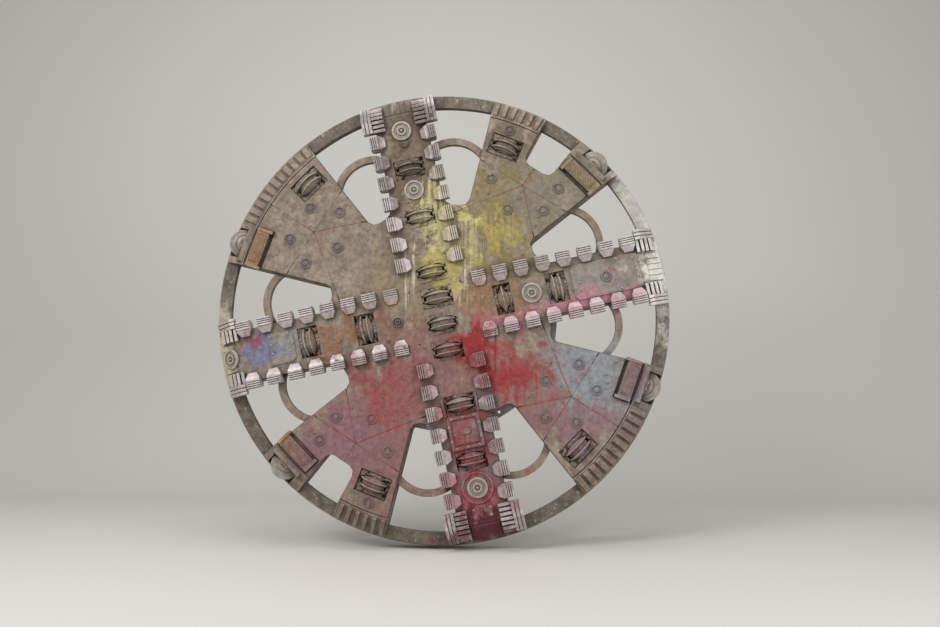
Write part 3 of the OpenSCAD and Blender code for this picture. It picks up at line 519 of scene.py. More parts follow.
def marker_group():
    tree, given = new_group("marker", "Place", "Mask")
    flat = seen_flat(tree, given["Place"])
    nearest = FAR_AWAY
    for stroke in STROKES:
        start, run = stroke_ends(*stroke)
        offset = vector_of(tree, "SUBTRACT", flat, start)
        along = vector_of(tree, "DOT_PRODUCT", offset, run, "Value")
        length_2 = run[0] ** 2 + run[2] ** 2
        share = add(tree, "Math", {0: along, 1: length_2}, operation="DIVIDE", use_clamp=True)
        foot = add(tree, "VectorMath", {0: run, 3: share.outputs[0]}, operation="SCALE").outputs[0]
        away = vector_of(tree, "DISTANCE", offset, foot, "Value")
        nearest = math_of(tree, "MINIMUM", nearest, away)
    from_ring = vector_of(tree, "DISTANCE", flat, (RING_X, 0, RING_Z), "Value")
    ring = math_of(tree, "ABSOLUTE", less(tree, from_ring, RING_R))
    nearest = math_of(tree, "MINIMUM", nearest, times(tree, ring, RING_THINNING))
    line = remap(tree, nearest, 0.62 * MARKER_W, 0.34 * MARKER_W)
    broken = remap(tree, noise(tree, given["Place"], 26.0, 4.0, 0.6), 0.34, 0.52)
    front = remap(tree, split(tree, given["Place"])["Y"], -1.20, -1.28)
    worn = times(tree, times(tree, line, broken), front)
    return end_group(tree, Mask=times(tree, worn, MARKER_STRENGTH))


MARKER = marker_group()

# %% [markdown]
# ## Around the buttons
#
# The protection buttons are pale, and the ports' plugs beside them are as dark
# as the plates. All of them are one node, so the pale finish is given by the
# distance to the nearest button's axis.

# %% Button group
BUTTON_COLOUR = (0.36, 0.32, 0.27)
BUTTON_EDGE = (0.17, 0.15)


def button_group():
    tree, given = new_group("near_a_button", "Place", "Mask")
    flat = seen_flat(tree, given["Place"])
    nearest = FAR_AWAY
    for r, angle, _ in [*BUTTONS, END_BUTTON]:
        a = math.radians(angle + HEAD_TURN)
        middle = (r * math.cos(a), 0, r * math.sin(a))
        nearest = math_of(tree, "MINIMUM", nearest, vector_of(tree, "DISTANCE", flat, middle, "Value"))
    return end_group(tree, Mask=remap(tree, nearest, *BUTTON_EDGE))


NEAR_BUTTON = button_group()

# %% [markdown]
# ## Worn edges and painted shade in corners
#
# Tools and plates are rubbed bright on their edges, and the corners are darkened:
# painted shade, with some dirt in it. Both follow the shape. An edge is where the
# surface's own normal leaves a normal rounded over a few millimetres, and a corner
# is where little of the sky shows. The rounded normal also softens the edges in the light.

# %% Edge and corner shade group
EDGE_RADIUS = 0.008
CORNER_REACH = 0.10


def edge_group():
    tree, given = new_group("worn_edges_and_corner_shade", "Place", "Edge Corner Normal")
    rounded = add(tree, "Bevel", {"Radius": EDGE_RADIUS}, samples=4).outputs[0]
    own = add(tree, "NewGeometry").outputs["Normal"]
    same = vector_of(tree, "DOT_PRODUCT", rounded, own, "Value")
    broken = noise(tree, given["Place"], 22.0, 3.0)
    away = times(tree, less(tree, 1.0, same), remap(tree, broken, 0.3, 0.6))
    # painted shade: where little of the sky shows, the corner mask darkens the colour
    sky = add(tree, "AmbientOcclusion", {"Distance": CORNER_REACH}, samples=4, only_local=False)
    corner = remap(tree, sky.outputs["AO"], 0.95, 0.35)
    return end_group(tree, Edge=remap(tree, away, 0.004, 0.10), Corner=corner, Normal=rounded)


EDGES = edge_group()

# %% [markdown]
# ## Mud coat
#
# The head has ground its way through clay and rock, so a thin coat of dried
# mud lies over everything: paler where it is dry, darker where it is damp, in
# vertical runs where water took it down, with fine grit in it.

# %% Mud group
PEBBLES_PER_M = 34.0


def mud_group():
    tree, given = new_group("mud_coat", "Place Steel Dry Damp Cover Runs Pebbles", "Colour Height Cover")
    place = given["Place"]
    broad = noise(tree, place, 1.1, 5.0, 0.6)
    middling = noise(tree, place, 6.5, 6.0, 0.65, shift=(3.1, 1.7, 0.4))
    fine = noise(tree, place, 55.0, 4.0, 0.7)
    runs = noise(tree, place, 3.4, 5.0, 0.6, stretch=(3.2, 1.0, 0.30), shift=(0.2, 0, 5.0))
    lies = plus(tree, times(tree, broad, 0.55), times(tree, middling, 0.45))
    threshold = less(tree, 0.86, times(tree, given["Cover"], 0.62))
    cover = remap(tree, lies, less(tree, threshold, 0.10), plus(tree, threshold, 0.07))
    run_dark = times(tree, remap(tree, runs, 0.46, 0.66), given["Runs"])
    mud = blend_colour(tree, remap(tree, middling, 0.30, 0.66), given["Damp"], given["Dry"])
    mud = blend_colour(tree, times(tree, remap(tree, fine, 0.42, 0.75), 0.35), mud, given["Dry"])
    mud = blend_colour(tree, times(tree, run_dark, 0.75), mud, given["Damp"])
    colour = blend_colour(tree, cover, given["Steel"], mud)
    pebbles = add(tree, "TexVoronoi", {"Vector": place, "Scale": PEBBLES_PER_M}, feature="SMOOTH_F1")
    height = times(tree, less(tree, 0.6, pebbles.outputs["Distance"]), given["Pebbles"])
    for layer, share in ((middling, 0.5), (fine, 0.25), (cover, 0.55)):
        height = plus(tree, times(tree, layer, share), height)
    return end_group(tree, Colour=colour, Height=height, Cover=cover)


MUD = mud_group()

# %% [markdown]
# ## Scratches round the axis
#
# The face turns against the ground, so stones draw long arcs on it, all about
# the head's axis. Noise read at (radius, angle) instead of (x, z) has just this
# grain: fine across the arcs, long along them.

# %% Scratch group
LINES_PER_M, LINES_PER_RADIAN = 80.0, 2.2


def scratch_group():
    tree, given = new_group("scratches", "Place", "Mask")
    axis = split(tree, given["Place"])
    flat = seen_flat(tree, given["Place"])
    radius = add(tree, "VectorMath", {0: flat}, operation="LENGTH").outputs["Value"]
    angle = math_of(tree, "ARCTAN2", axis["Z"], axis["X"])
    polar = {"X": times(tree, radius, LINES_PER_M), "Y": times(tree, angle, LINES_PER_RADIAN)}
    lines = noise(tree, add(tree, "CombineXYZ", polar).outputs[0], 1.0, 3.0, 0.7)
    patches = remap(tree, noise(tree, given["Place"], 1.9, 3.0), 0.42, 0.62)
    return end_group(tree, Mask=times(tree, remap(tree, lines, 0.56, 0.72), patches))


SCRATCHES = scratch_group()

# %% [markdown]
# ## The finishes
#
# Each finish is one material: its steel under the mud coat, then the dye, pale
# spatter, bright edges and painted shade in the corners, and a bump that carries
# the mud's thickness. Scratches and dye stay off the faces that look back. One
# function builds them all from a table, so that they stay a family.

# %% Finishes
# the corner amounts below set how strongly painted shade darkens the corners
BASE = dict(
    steel=(0.165, 0.138, 0.115), dry=(0.270, 0.218, 0.170), damp=(0.150, 0.112, 0.082),
    edge=(0.40, 0.36, 0.31), cover=0.80, runs=0.55, dye=1.0, edge_amount=0.50, rough=0.55, metal=0.30,
    corner=0.75, bump=0.004, spatter=0.10, pebbles=0.0, scratch=0.30, marker=0.0, pale_buttons=0.0)
FINISHES = {
    "face_steel": dict(marker=1.0),
    "rim_steel": dict(
        steel=(0.105, 0.088, 0.072), dry=(0.145, 0.120, 0.096), damp=(0.078, 0.060, 0.046),
        cover=0.9, bump=0.007, spatter=0.30, pebbles=0.8, scratch=0.2),
    "button_steel": dict(
        steel=(0.115, 0.098, 0.092), dry=(0.185, 0.150, 0.132), damp=(0.110, 0.086, 0.075),
        cover=0.7, dye=0.75, corner=0.95, edge_amount=0.30, pale_buttons=0.85),
    "weld_metal": dict(steel=(0.20, 0.165, 0.135), cover=0.65, spatter=0.15, scratch=0.0),
    "rear_steel": dict(
        steel=(0.20, 0.19, 0.18), dry=(0.27, 0.235, 0.195), damp=(0.11, 0.09, 0.072),
        edge=(0.34, 0.31, 0.28), cover=0.6, dye=0.0, edge_amount=0.3, scratch=0.0),
    "tool_steel": dict(
        steel=(0.45, 0.39, 0.385), dry=(0.46, 0.39, 0.36), damp=(0.22, 0.17, 0.155),
        edge=(0.68, 0.65, 0.64), cover=0.40, runs=0.3, dye=0.60, edge_amount=0.85, rough=0.42,
        metal=0.35, corner=0.85, bump=0.003, spatter=0.25, scratch=0.0),
    "cutter_steel": dict(
        steel=(0.27, 0.235, 0.205), dry=(0.31, 0.26, 0.21), damp=(0.15, 0.115, 0.085),
        edge=(0.66, 0.62, 0.56), cover=0.60, runs=0.3, dye=0.80, edge_amount=0.95, rough=0.40,
        metal=0.4, corner=0.5, bump=0.003, spatter=0.3, scratch=0.0),
    "hard_facing": dict(
        steel=(0.27, 0.16, 0.085), dry=(0.33, 0.235, 0.14), damp=(0.16, 0.095, 0.052),
        cover=0.55, runs=0.3, dye=0.75, rough=0.6, bump=0.006, scratch=0.0),
    "machined_steel": dict(
        steel=(0.42, 0.42, 0.42), dry=(0.27, 0.235, 0.195), damp=(0.10, 0.085, 0.07),
        edge=(0.60, 0.60, 0.60), cover=0.18, runs=0.2, dye=0.0, edge_amount=0.6, rough=0.32,
        metal=0.85, corner=0.7, bump=0.0015, spatter=0.0, scratch=0.0),
    "packed_mud": dict(
        steel=(0.22, 0.17, 0.13), dry=(0.31, 0.25, 0.19), damp=(0.17, 0.13, 0.095),
        cover=1.0, dye=0.8, metal=0.0, rough=0.9, bump=0.006, spatter=0.1, pebbles=0.5, scratch=0.0,
        edge_amount=0.1, corner=0.30),
}
SPATTER = (0.62, 0.58, 0.52)
# painted shade for the corners, with some dirt in it: a near-black brown
SHADE_AND_DIRT = (0.035, 0.028, 0.022)
MUD_ROUGH = 0.88
MUD_INPUTS = ("steel", "dry", "damp", "cover", "runs", "pebbles")


def make_finish(name):
    want = {**BASE, **FINISHES[name]}

    def share(mask, key):
        return times(tree, mask, want[key])

    material = bpy.data.materials.new(name)
    material.use_nodes = True
    tree = material.node_tree
    shader = tree.nodes["Principled BSDF"]
    coordinates = add(tree, "TexCoord").outputs
    place = coordinates["Object"]
    front = remap(tree, split(tree, coordinates["Normal"])["Y"], 0.5, 0.2)
    mud = use_group(tree, MUD, Place=place, **{key.title(): want[key] for key in MUD_INPUTS})
    edges = use_group(tree, EDGES, Place=place)
    colour = mud["Colour"]
    if want["scratch"]:
        scratched = share(use_group(tree, SCRATCHES, Place=place)["Mask"], "scratch")
        colour = blend_colour(tree, times(tree, scratched, front), colour, want["edge"])
    if want["dye"]:
        colour = use_group(tree, DYE, Place=place, Colour=colour, Amount=share(front, "dye"))["Colour"]
    if want["pale_buttons"]:
        pale = share(use_group(tree, NEAR_BUTTON, Place=place)["Mask"], "pale_buttons")
        colour = blend_colour(tree, pale, colour, BUTTON_COLOUR)
    if want["marker"]:
        colour = blend_colour(tree, use_group(tree, MARKER, Place=place)["Mask"], colour, MARKER_RED)
    tone = remap(tree, noise(tree, place, 14.0, 6.0, 0.7), 0.25, 0.75, 0.70, 1.24)
    colour = add(tree, "VectorMath", {0: colour, 3: tone}, operation="SCALE").outputs[0]
    if want["spatter"]:
        specks = remap(tree, noise(tree, place, 42.0, 3.0, 0.65, shift=(2.0, 0, 9.0)), 0.60, 0.70)
        colour = blend_colour(tree, share(specks, "spatter"), colour, SPATTER)
    colour = blend_colour(tree, share(edges["Edge"], "edge_amount"), colour, want["edge"])
    # painted shade: the corners are darkened, with some dirt in it
    colour = blend_colour(tree, share(edges["Corner"], "corner"), colour, SHADE_AND_DIRT)
    rough = plus(tree, want["rough"], times(tree, mud["Cover"], MUD_ROUGH - want["rough"]))
    bumped = add(tree, "Bump", {"Height": mud["Height"], "Normal": edges["Normal"], "Distance": want["bump"],
                                "Strength": 1.0})
    wire(tree, shader, {"Base Color": colour, "Metallic": share(less(tree, 1.0, mud["Cover"]), "metal"),
                        "Roughness": rough, "Normal": bumped.outputs[0]})
    return material


materials = {name: make_finish(name) for name in FINISHES}
slot_of = {row["node"]: row["material_slot"] for row in frame["record"]["subparts"]}
OWN_FINISH = {**{"rim_%d" % i: "rim_steel" for i in (1, 2, 3, 4)}, "face_buttons": "button_steel"}
# the small pieces' finishes that have no slot of their own count as the face's steel
for name, piece in nodes.items():
    piece.data.materials.clear()
    piece.data.materials.append(materials[OWN_FINISH.get(name, slot_of[name])])
print("finishes:", len(materials))

# %% [markdown]
# ## Small pieces: how they are made
#
# Each small piece is a surface that NumPy computes: a profile carried round or
# along a path, or one template repeated over many places. Modelling tools and
# modifiers could make them too, but a formula keeps every size in view.

# %% Tools that place and build


def axes_at(angle, tilt=0.0):
    """Rows are the world directions of a piece's own x (outwards), y and z (forwards).

    x = (cos a, 0, sin a), y = (-sin a, 0, cos a), z = (0, -1, 0), and a tilt turns
    z towards x."""
    a = np.radians(np.atleast_1d(angle) + HEAD_TURN)
    t = math.radians(tilt)
    x = np.stack([np.cos(a), 0 * a, np.sin(a)], 1)
    y = np.stack([-np.sin(a), 0 * a, np.cos(a)], 1)
    z = np.stack([0 * a, -1 + 0 * a, 0 * a], 1)
    return np.stack([math.cos(t) * x - math.sin(t) * z, y, math.sin(t) * x + math.cos(t) * z], 1)


def on_head(points, angle):
    """Points (u, v, h) along the spoke at an angle, in the world."""
    return np.asarray(points, float) @ axes_at(angle)[0]


def round_angles(count):
    return np.linspace(0, 2 * np.pi, count, endpoint=False)


def closed_strips(rows, columns):
    """Quads between neighbouring points of a grid whose columns close to a ring."""
    quads = grid_quads(rows, columns + 1)
    return quads // (columns + 1) * columns + quads % (columns + 1) % columns


def capped(rows, columns):
    """The quads of a closed grid, and one face over its last row."""
    return [closed_strips(rows, columns), np.arange(columns)[None] + columns * (rows - 1)]


def add_piece(name, points, faces, material, body="head", smooth=True):
    """A mesh from points and a list of face arrays, ridden by a body of the model."""
    mesh = bpy.data.meshes.new(name)
    points = np.ascontiguousarray(points, np.float32)
    mesh.vertices.add(len(points))
    mesh.vertices.foreach_set("co", points.ravel())
    corners = np.concatenate([block.ravel() for block in faces]).astype(np.int32)
    sizes = np.concatenate([np.full(len(block), block.shape[1]) for block in faces])
    starts = np.concatenate([[0], np.cumsum(sizes)[:-1]]).astype(np.int32)
    mesh.loops.add(len(corners))
    mesh.loops.foreach_set("vertex_index", corners)
    mesh.polygons.add(len(sizes))
    mesh.polygons.foreach_set("loop_start", starts)
    mesh.polygons.foreach_set("use_smooth", np.full(len(sizes), smooth))
    mesh.update(calc_edges=True)
    mesh.validate()
    piece = bpy.data.objects.new(name, mesh)
    bpy.context.scene.collection.objects.link(piece)
    mesh.materials.append(materials[material])
    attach(piece, body)
    print("%s: %d points, %d faces" % (name, len(points), len(sizes)))


def repeat(points, faces, origins, axes):
    """Copies of a template: copy k is origins[k] + points @ axes[k]."""
    placed = origins[:, None, :] + np.einsum("pi,kij->kpj", points, axes)
    step = (np.arange(len(origins)) * len(points))[:, None, None]
    return placed.reshape(-1, 3), [(block[None] + step).reshape(-1, block.shape[1]) for block in faces]


def join(parts):
    """One point array and one list of face blocks from several of each."""
    points, faces, start = [], [], 0
    for some, blocks in parts:
        points.append(some)
        faces.extend(block + start for block in blocks)
        start += len(some)
    return np.concatenate(points), faces


# %% [markdown]
# ## Bolt heads
#
# Hexagon bolts hold the cutter shafts' clamps, the spokes' covers, the head
# flange and the turning ring. A bolt head is turned bar with six flats milled on
# it. Its surface is a stack of rings whose radius follows the hexagon,
# r(a) = r0 / cos(a mod 60 - 30 degrees), and becomes a circle at the chamfer.

# %% Bolts
# radius and height of the heads
CLAMP_BOLT, COVER_BOLT = (0.019, 0.017), (0.016, 0.014)
BOLT_SIDES = 24
# spoke angle, how far the plate stands above the face, and its bolts' u and v
COVER_BOLTS = [
    (0, 0.016, (2.10,), (-0.20, 0, 0.20)),
    (0, 0.016, (2.97,), (-0.22, -0.08, 0.08, 0.22)),
    (0, 0.016, (2.40, 2.70), (-0.225, 0.225)),
    (180, 0.014, (2.30, 2.565), (-0.195, -0.065, 0.065, 0.195)),
    (270, 0.034, (1.567, 2.003), (-0.17, 0, 0.17)),
    (270, 0.034, (1.68, 1.89), (-0.219, 0.219)),
    (270, 0.016, (2.905, 3.010), (-0.12, 0.12)),
]


def bolt_template(radius, height):
    """Rings of (radius, height): washer, hexagon and chamfer circle, closed by a cap."""
    a = round_angles(BOLT_SIDES)
    circle = radius + 0 * a
    hexagon = 0.88 * radius / np.cos((a + np.pi / 6) % (np.pi / 3) - np.pi / 6)
    rings = [(1.30 * circle, 0.0), (1.30 * circle, 0.14), (1.02 * hexagon, 0.16),
             (hexagon, 0.18), (hexagon, 0.86), (0.84 * circle, 1.0)]
    points = [np.stack([r * np.cos(a), r * np.sin(a), height * z + 0 * a], 1) for r, z in rings]
    return np.concatenate(points), capped(len(rings), BOLT_SIDES)


def clamp_bolts():
    """Two bolts on each clamp: four places a cutter, in the cutter's own frame."""
    corners = np.array([(i, j, 1.0) for i in (-1, 1) for j in (-1, 1)])
    cutters = [(r, DISC_H, angle, 0.0, half) for r, angle, half in CUTTERS]
    cutters += [(GAUGE_R, GAUGE_H, angle, GAUGE_TILT, GAUGE_HALF) for angle in GAUGE_ANGLES]
    parts = []
    for r, h, angle, tilt, half in cutters:
        axes = axes_at(angle, tilt)
        origins = corners * (half, CLAMP_BOLT_V, CLAMP_FRONT) @ axes[0] + on_head([r, 0, h], angle)
        parts.append(repeat(*bolt_template(*CLAMP_BOLT), origins, np.repeat(axes, len(corners), 0)))
    return join(parts)


def cover_bolts():
    parts = []
    for angle, rise, out, across in COVER_BOLTS:
        origins = on_head([(u, v, FACE_H + rise) for u in out for v in across], angle)
        parts.append(repeat(*bolt_template(*COVER_BOLT), origins, np.repeat(axes_at(angle), len(origins), 0)))
    return join(parts)


def ring_of_bolts(radius, h, count, size, forward=True, skip=0.0):
    """Bolts on a circle about the head's axis, on a face that looks forward or back.

    Those within skip degrees of a spoke, where the legs stand, are left out."""
    angles = (np.arange(count) + 0.5) * 360 / count
    angles = angles[np.abs((angles + 45) % 90 - 45) > skip]
    axes = axes_at(angles)
    origins = np.stack([radius * axes[:, 0, 0], np.full(len(angles), -h), radius * axes[:, 0, 2]], 1)
    if not forward:
        axes = axes * np.array([1, -1, -1])[None, :, None]
    return repeat(*bolt_template(size, size * 0.9), origins, axes)


# %% [markdown]
# ## Weld beads
#
# Every plate is welded on. A bead is molten metal that froze in ripples, so its
# section is a low arch and its width swells a little at each ripple. It is
# carried along a path on the face: out = side * w cos(p) + forwards * t sin(p).

# %% Weld beads
FORWARDS = np.array([0.0, -1.0, 0.0])
WELD_HALF_W, WELD_HEIGHT = 0.0085, 0.0065
RIPPLE = 0.020
ARCH_POINTS = 7
# the welds between spokes and sector plates: both ends in u, distance from the axis, height
SEAM_WELD = (SPOKE_HALF + 0.02, 1.72, SPOKE_HALF + 0.007, FACE_H - 0.006)
# both ends of the strips beside the bottom spoke's inner cutter, and v of their edges
STRIP_ENDS, STRIP_EDGES = (1.25, 1.52), (-0.233, -0.271, 0.233, 0.271)
# angle, u, radius and points of the welds round the bottom button's wear ring and the left boss
RING_WELDS = [(270, 2.600, 0.243, 60), (180, 0.645, 0.082, 40)]
PLUG_WELD_R, RIM_WELD_R = 0.081, RIM_R - 0.012
# the covers and the hatch: angle, inner and outer end, half width, cut of the inner corners
COVER_WELDS = [
    (0, 2.000, 3.010, 0.262, 0.060), (180, 2.225, 2.600, 0.235, 0.060), (270, 1.545, 2.025, 0.240, 0.030),
    (270, 2.856, 3.040, 0.150, 0.060), (90, 2.590, 2.670, 0.055, 0.027),
]


def resample(path, step):
    """Points at equal steps along a polyline."""
    path = np.asarray(path, float)
    along = np.concatenate([[0], np.cumsum(np.linalg.norm(np.diff(path, axis=0), axis=1))])
    count = max(6, int(along[-1] / step))
    s = np.linspace(0, along[-1], count)
    return np.stack([np.interp(s, along, path[:, i]) for i in range(3)], 1), s


def bead(path, half_width, height, step=0.008, seed=0):
    """An arch carried along a path on the face, swollen by its ripples."""
    points, s = resample(path, step)
    tangent = np.gradient(points, axis=0)
    tangent /= np.linalg.norm(tangent, axis=1)[:, None] + 1e-9
    side = np.cross(tangent, FORWARDS)
    side /= np.linalg.norm(side, axis=1)[:, None] + 1e-9
    wobble = np.random.default_rng(seed).normal(0, 1, len(s))
    wobble = np.convolve(wobble, np.ones(5) / 5, "same")
    swell = 1 + 0.14 * np.abs(np.sin(np.pi * s / RIPPLE)) + 0.16 * wobble
    swell *= np.clip(np.minimum(s, s[-1] - s) / (2 * half_width) + 0.05, 0, 1)
    p = np.linspace(np.pi, 0, ARCH_POINTS)[:, None]
    arch = side[:, None] * half_width * np.cos(p) + FORWARDS * height * np.sin(p)
    grid = points[:, None] + arch * swell[:, None, None]
    return grid.reshape(-1, 3), [grid_quads(len(s), ARCH_POINTS)]


def ring_path(u, r, count):
    a = np.linspace(0, 2 * np.pi, count)
    return np.stack([u + r * np.cos(a), r * np.sin(a), FACE_H + 0 * a], 1)


def box_path(u_0, u_1, half, c):
    """The outline of a cover whose two inner corners are cut by c."""
    corners = [(u_1, -half), (u_1, half), (u_0 + c, half), (u_0, half - c), (u_0, c - half),
               (u_0 + c, -half), (u_1, -half)]
    return [(u, v, FACE_H) for u, v in corners]


def weld_paths():
    """Pairs of an angle and a path (u, v, h) on the face."""
    u_0, u_1, seam_v, seam_h = SEAM_WELD
    paths = [(angle, [(u_0, v, seam_h), (u_1, v, seam_h)]) for angle in SPOKES for v in (-seam_v, seam_v)]
    paths += [(angle, box_path(*box)) for angle, *box in COVER_WELDS]
    paths += [(270, [(u, v, FACE_H) for u in STRIP_ENDS]) for v in STRIP_EDGES]
    paths += [(angle, ring_path(r, size + 0.002, 40)) for r, angle, size in BUTTONS]
    paths += [(angle, ring_path(*ring)) for angle, *ring in RING_WELDS]
    paths += [(angle, ring_path(r, PLUG_WELD_R, 28)) for r, angle in PLUGS]
    a = np.radians(np.linspace(-SECTOR_HALF, SECTOR_HALF, 60))
    arc = np.stack([RIM_WELD_R * np.cos(a), RIM_WELD_R * np.sin(a), RIM_FRONT_H + 0 * a], 1)
    return paths + [(mid, arc) for mid in SECTORS]


def weld_beads():
    return join([bead(on_head(path, angle), WELD_HALF_W, WELD_HEIGHT, seed=i)
                 for i, (angle, path) in enumerate(weld_paths())])


# %% [markdown]
# ## Hard facing
#
# The four guard blocks beside the gauge cutters are covered with weld beads of
# a hard alloy, laid side by side on the slant. The same bead is laid along
# lines v = u + c that are cut to the block's face.

# %% Hard facing on the guards
GUARD_R, GUARD_H = 2.9305, 1.360
GUARD_HALF_U, GUARD_HALF_V = 0.084, 0.228
FACING_PITCH, FACING_HALF_W, FACING_HEIGHT = 0.034, 0.0125, 0.013
SHORTEST_BEAD = 0.02


def hard_facing():
    parts = []
    slants = np.arange(-GUARD_HALF_U - GUARD_HALF_V, GUARD_HALF_U + GUARD_HALF_V, FACING_PITCH)
    for angle in GAUGE_ANGLES:
        for c in slants:
            low, high = max(-GUARD_HALF_U, -GUARD_HALF_V - c), min(GUARD_HALF_U, GUARD_HALF_V - c)
            if high - low < SHORTEST_BEAD:
                continue
            path = on_head([(GUARD_R + u, u + c, GUARD_H) for u in (low, high)], angle)
            parts.append(bead(path, FACING_HALF_W, FACING_HEIGHT, seed=int(1000 * (c + 1))))
    return join(parts)


# %% [markdown]
# ## Mud that stuck
#
# Crumbs of mud stick all over the front. Where they lie is found by looking
# along the head's axis from the front: a ray that meets a plate leaves a crumb
# there. A crumb is a flat dome whose radius is torn by a few waves,
# r(a) = 1 + sum of b_k cos(k a + c_k).

# %% Crumbs of mud
CRUMBS = 1500
CRUMB_KINDS = 3
CRUMB_RINGS, CRUMB_SIDES = 4, 11
# the smallest size, how much larger the largest is, and how rare the large ones are
CRUMB_SIZE, CRUMB_SPREAD, CRUMB_RARITY = 0.006, 0.030, 3.5
# crumbs lie within this radius, on faces that look forwards and aren't deeper than this
FIELD_R, FIELD_NORMAL_Y, FIELD_Y = 3.36, -0.75, -1.0
RAYS_FROM_Y = -2.0
SIDEWAYS = ((1, 0), (-1, 0), (0, 1), (0, -1))


def crumb_template(seed):
    rng = np.random.default_rng(seed)
    a = round_angles(CRUMB_SIDES)
    waves = 1 + sum(rng.normal(0, 0.16) * np.cos(k * a + rng.uniform(0, 6.3)) for k in (1, 2, 3, 4))
    rings = []
    for share in np.linspace(1.0, 0.22, CRUMB_RINGS):
        rise = 0.42 * (1 - share ** 2.2) * (1 + 0.2 * rng.normal(size=CRUMB_SIDES)) - 0.03 * (share == 1.0)
        rings.append(np.stack([share * waves * np.cos(a), share * waves * np.sin(a), rise], 1))
    return np.concatenate(rings), capped(CRUMB_RINGS, CRUMB_SIDES)


def front_surface():
    """One tree of the model's faces, to cast rays at, and which of them turn with a cutter."""
    points, faces, start = [], [], 0
    for name, piece in nodes.items():
        mesh = piece.data
        co = np.empty(len(mesh.vertices) * 3, np.float32)
        mesh.vertices.foreach_get("co", co)
        mesh.calc_loop_triangles()
        tri = np.empty(len(mesh.loop_triangles) * 3, np.int32)
        mesh.loop_triangles.foreach_get("vertices", tri)
        moving = name.startswith("disc_")
        placed = np.asarray(piece.matrix_world)
        points.append(co.reshape(-1, 3) @ placed[:3, :3].T + placed[:3, 3])
        faces.append(np.column_stack([tri.reshape(-1, 3) + start, np.full(len(tri) // 3, moving)]))
        start += len(mesh.vertices)
    faces = np.concatenate(faces)
    tree = BVHTree.FromPolygons(np.concatenate(points).tolist(), faces[:, :3].tolist(), all_triangles=True)
    return tree, faces[:, 3].astype(bool)


def mud_crumbs():
    tree, moving = front_surface()
    rng = np.random.default_rng(11)
    ahead = Vector((0, 1, 0))
    found = []
    while len(found) < CRUMBS:
        angle, radius = rng.uniform(0, 2 * np.pi), FIELD_R * math.sqrt(rng.uniform(0.01, 1))
        size = CRUMB_SIZE + CRUMB_SPREAD * rng.uniform() ** CRUMB_RARITY
        spot = Vector((radius * math.cos(angle), RAYS_FROM_Y, radius * math.sin(angle)))
        place, normal, index, _ = tree.ray_cast(spot, ahead)
        if place is None or moving[index] or normal.y > FIELD_NORMAL_Y or place.y > FIELD_Y:
            continue
        beside = [tree.ray_cast(spot + 1.5 * size * Vector((dx, 0, dz)), ahead) for dx, dz in SIDEWAYS]
        if any(hit is None or moving[i] or abs(hit.y - place.y) > 0.6 * size for hit, _, i, _ in beside):
            continue
        found.append((place, normal, size, rng.uniform(0, 2 * np.pi)))
    parts = []
    for kind in range(CRUMB_KINDS):
        origins, axes = [], []
        for place, normal, size, turn in found[kind::CRUMB_KINDS]:
            up = np.array(normal)
            across = np.cross(up, (math.cos(turn), 0, math.sin(turn)))
            across /= np.linalg.norm(across)
            axes.append(size * np.stack([across, np.cross(up, across), up]))
            origins.append(np.array(place))
        parts.append(repeat(*crumb_template(kind), np.array(origins), np.array(axes)))
    return join(parts)


# %% [markdown]
# ## Mud packed round the cutters
#
# The cutters' pockets have filled with clay, and turning cutters have cut
# their own shape free in it. So each half of a pocket is one sheet over (x, t),
# where x runs along the cutter's axis and t from the cutter to the pocket's end:
# y = Y(x) + t (end - Y(x)). Y(x) is the cutter's own outline, a few millimetres
# wider, and the first row of points drops to make the cut's wall.

# %% Mud in the pockets
POCKET_HALF = 0.230
RING_OFFSET = 0.046
CUT_GAP = 0.008
# distance from a ring's middle, and the radius there
RING_PROFILE = (0.004, 0.009, 0.020, 0.034, 0.038, 0.039), (0.216, 0.212, 0.165, 0.151, 0.121, 0)
HUB_R, HUB_HALF, TWIN_HUB_HALF, BETWEEN_R = 0.121, 0.075, 0.095, 0.190
# a cutter with its clamps further apart than this, halved, has two rings
TWIN_HALF = 0.110
POCKET_COLUMNS = 46
# t of the rows of points, and how deep the first of them drops
POCKET_T = np.concatenate([[0.0, 0.02], np.linspace(0.06, 1, 14)])
WALL_FOOT = -0.110
# how full each face cutter's pocket is, in the order of CUTTERS
POCKET_FILLS = (1.05, 1.00, 1.00, 0.95, 0.60, 0.70, 1.00, 0.85,
                0.62, 0.65, 0.80, 0.75, 0.85, 0.70, 0.80, 0.75)


def cutter_outline(x, twin):
    """Y(x): the widest of hub, rings and the mud between them, at x and CUT_GAP beside it."""
    beside = np.abs(x[:, None] + np.array([-CUT_GAP, 0, CUT_GAP]))
    ring = np.interp(np.abs(beside - RING_OFFSET) if twin else beside, *RING_PROFILE)
    hub_half = TWIN_HUB_HALF if twin else HUB_HALF
    hub = np.interp(beside, [hub_half, hub_half + 0.001], [HUB_R, 0])
    between = BETWEEN_R * (beside < RING_OFFSET) * twin
    return np.maximum(np.maximum(ring, hub), between).max(1) + CUT_GAP


def lumps(rng, x, y, height, size):
    """A sum of eight cosine waves whose lengths are about the given size."""
    waves = rng.normal(0, 4 / size, (8, 2))
    phase = rng.uniform(0, 2 * np.pi, 8)
    return height / 3 * np.cos(x[..., None] * waves[:, 0] + y[..., None] * waves[:, 1] + phase).sum(-1)


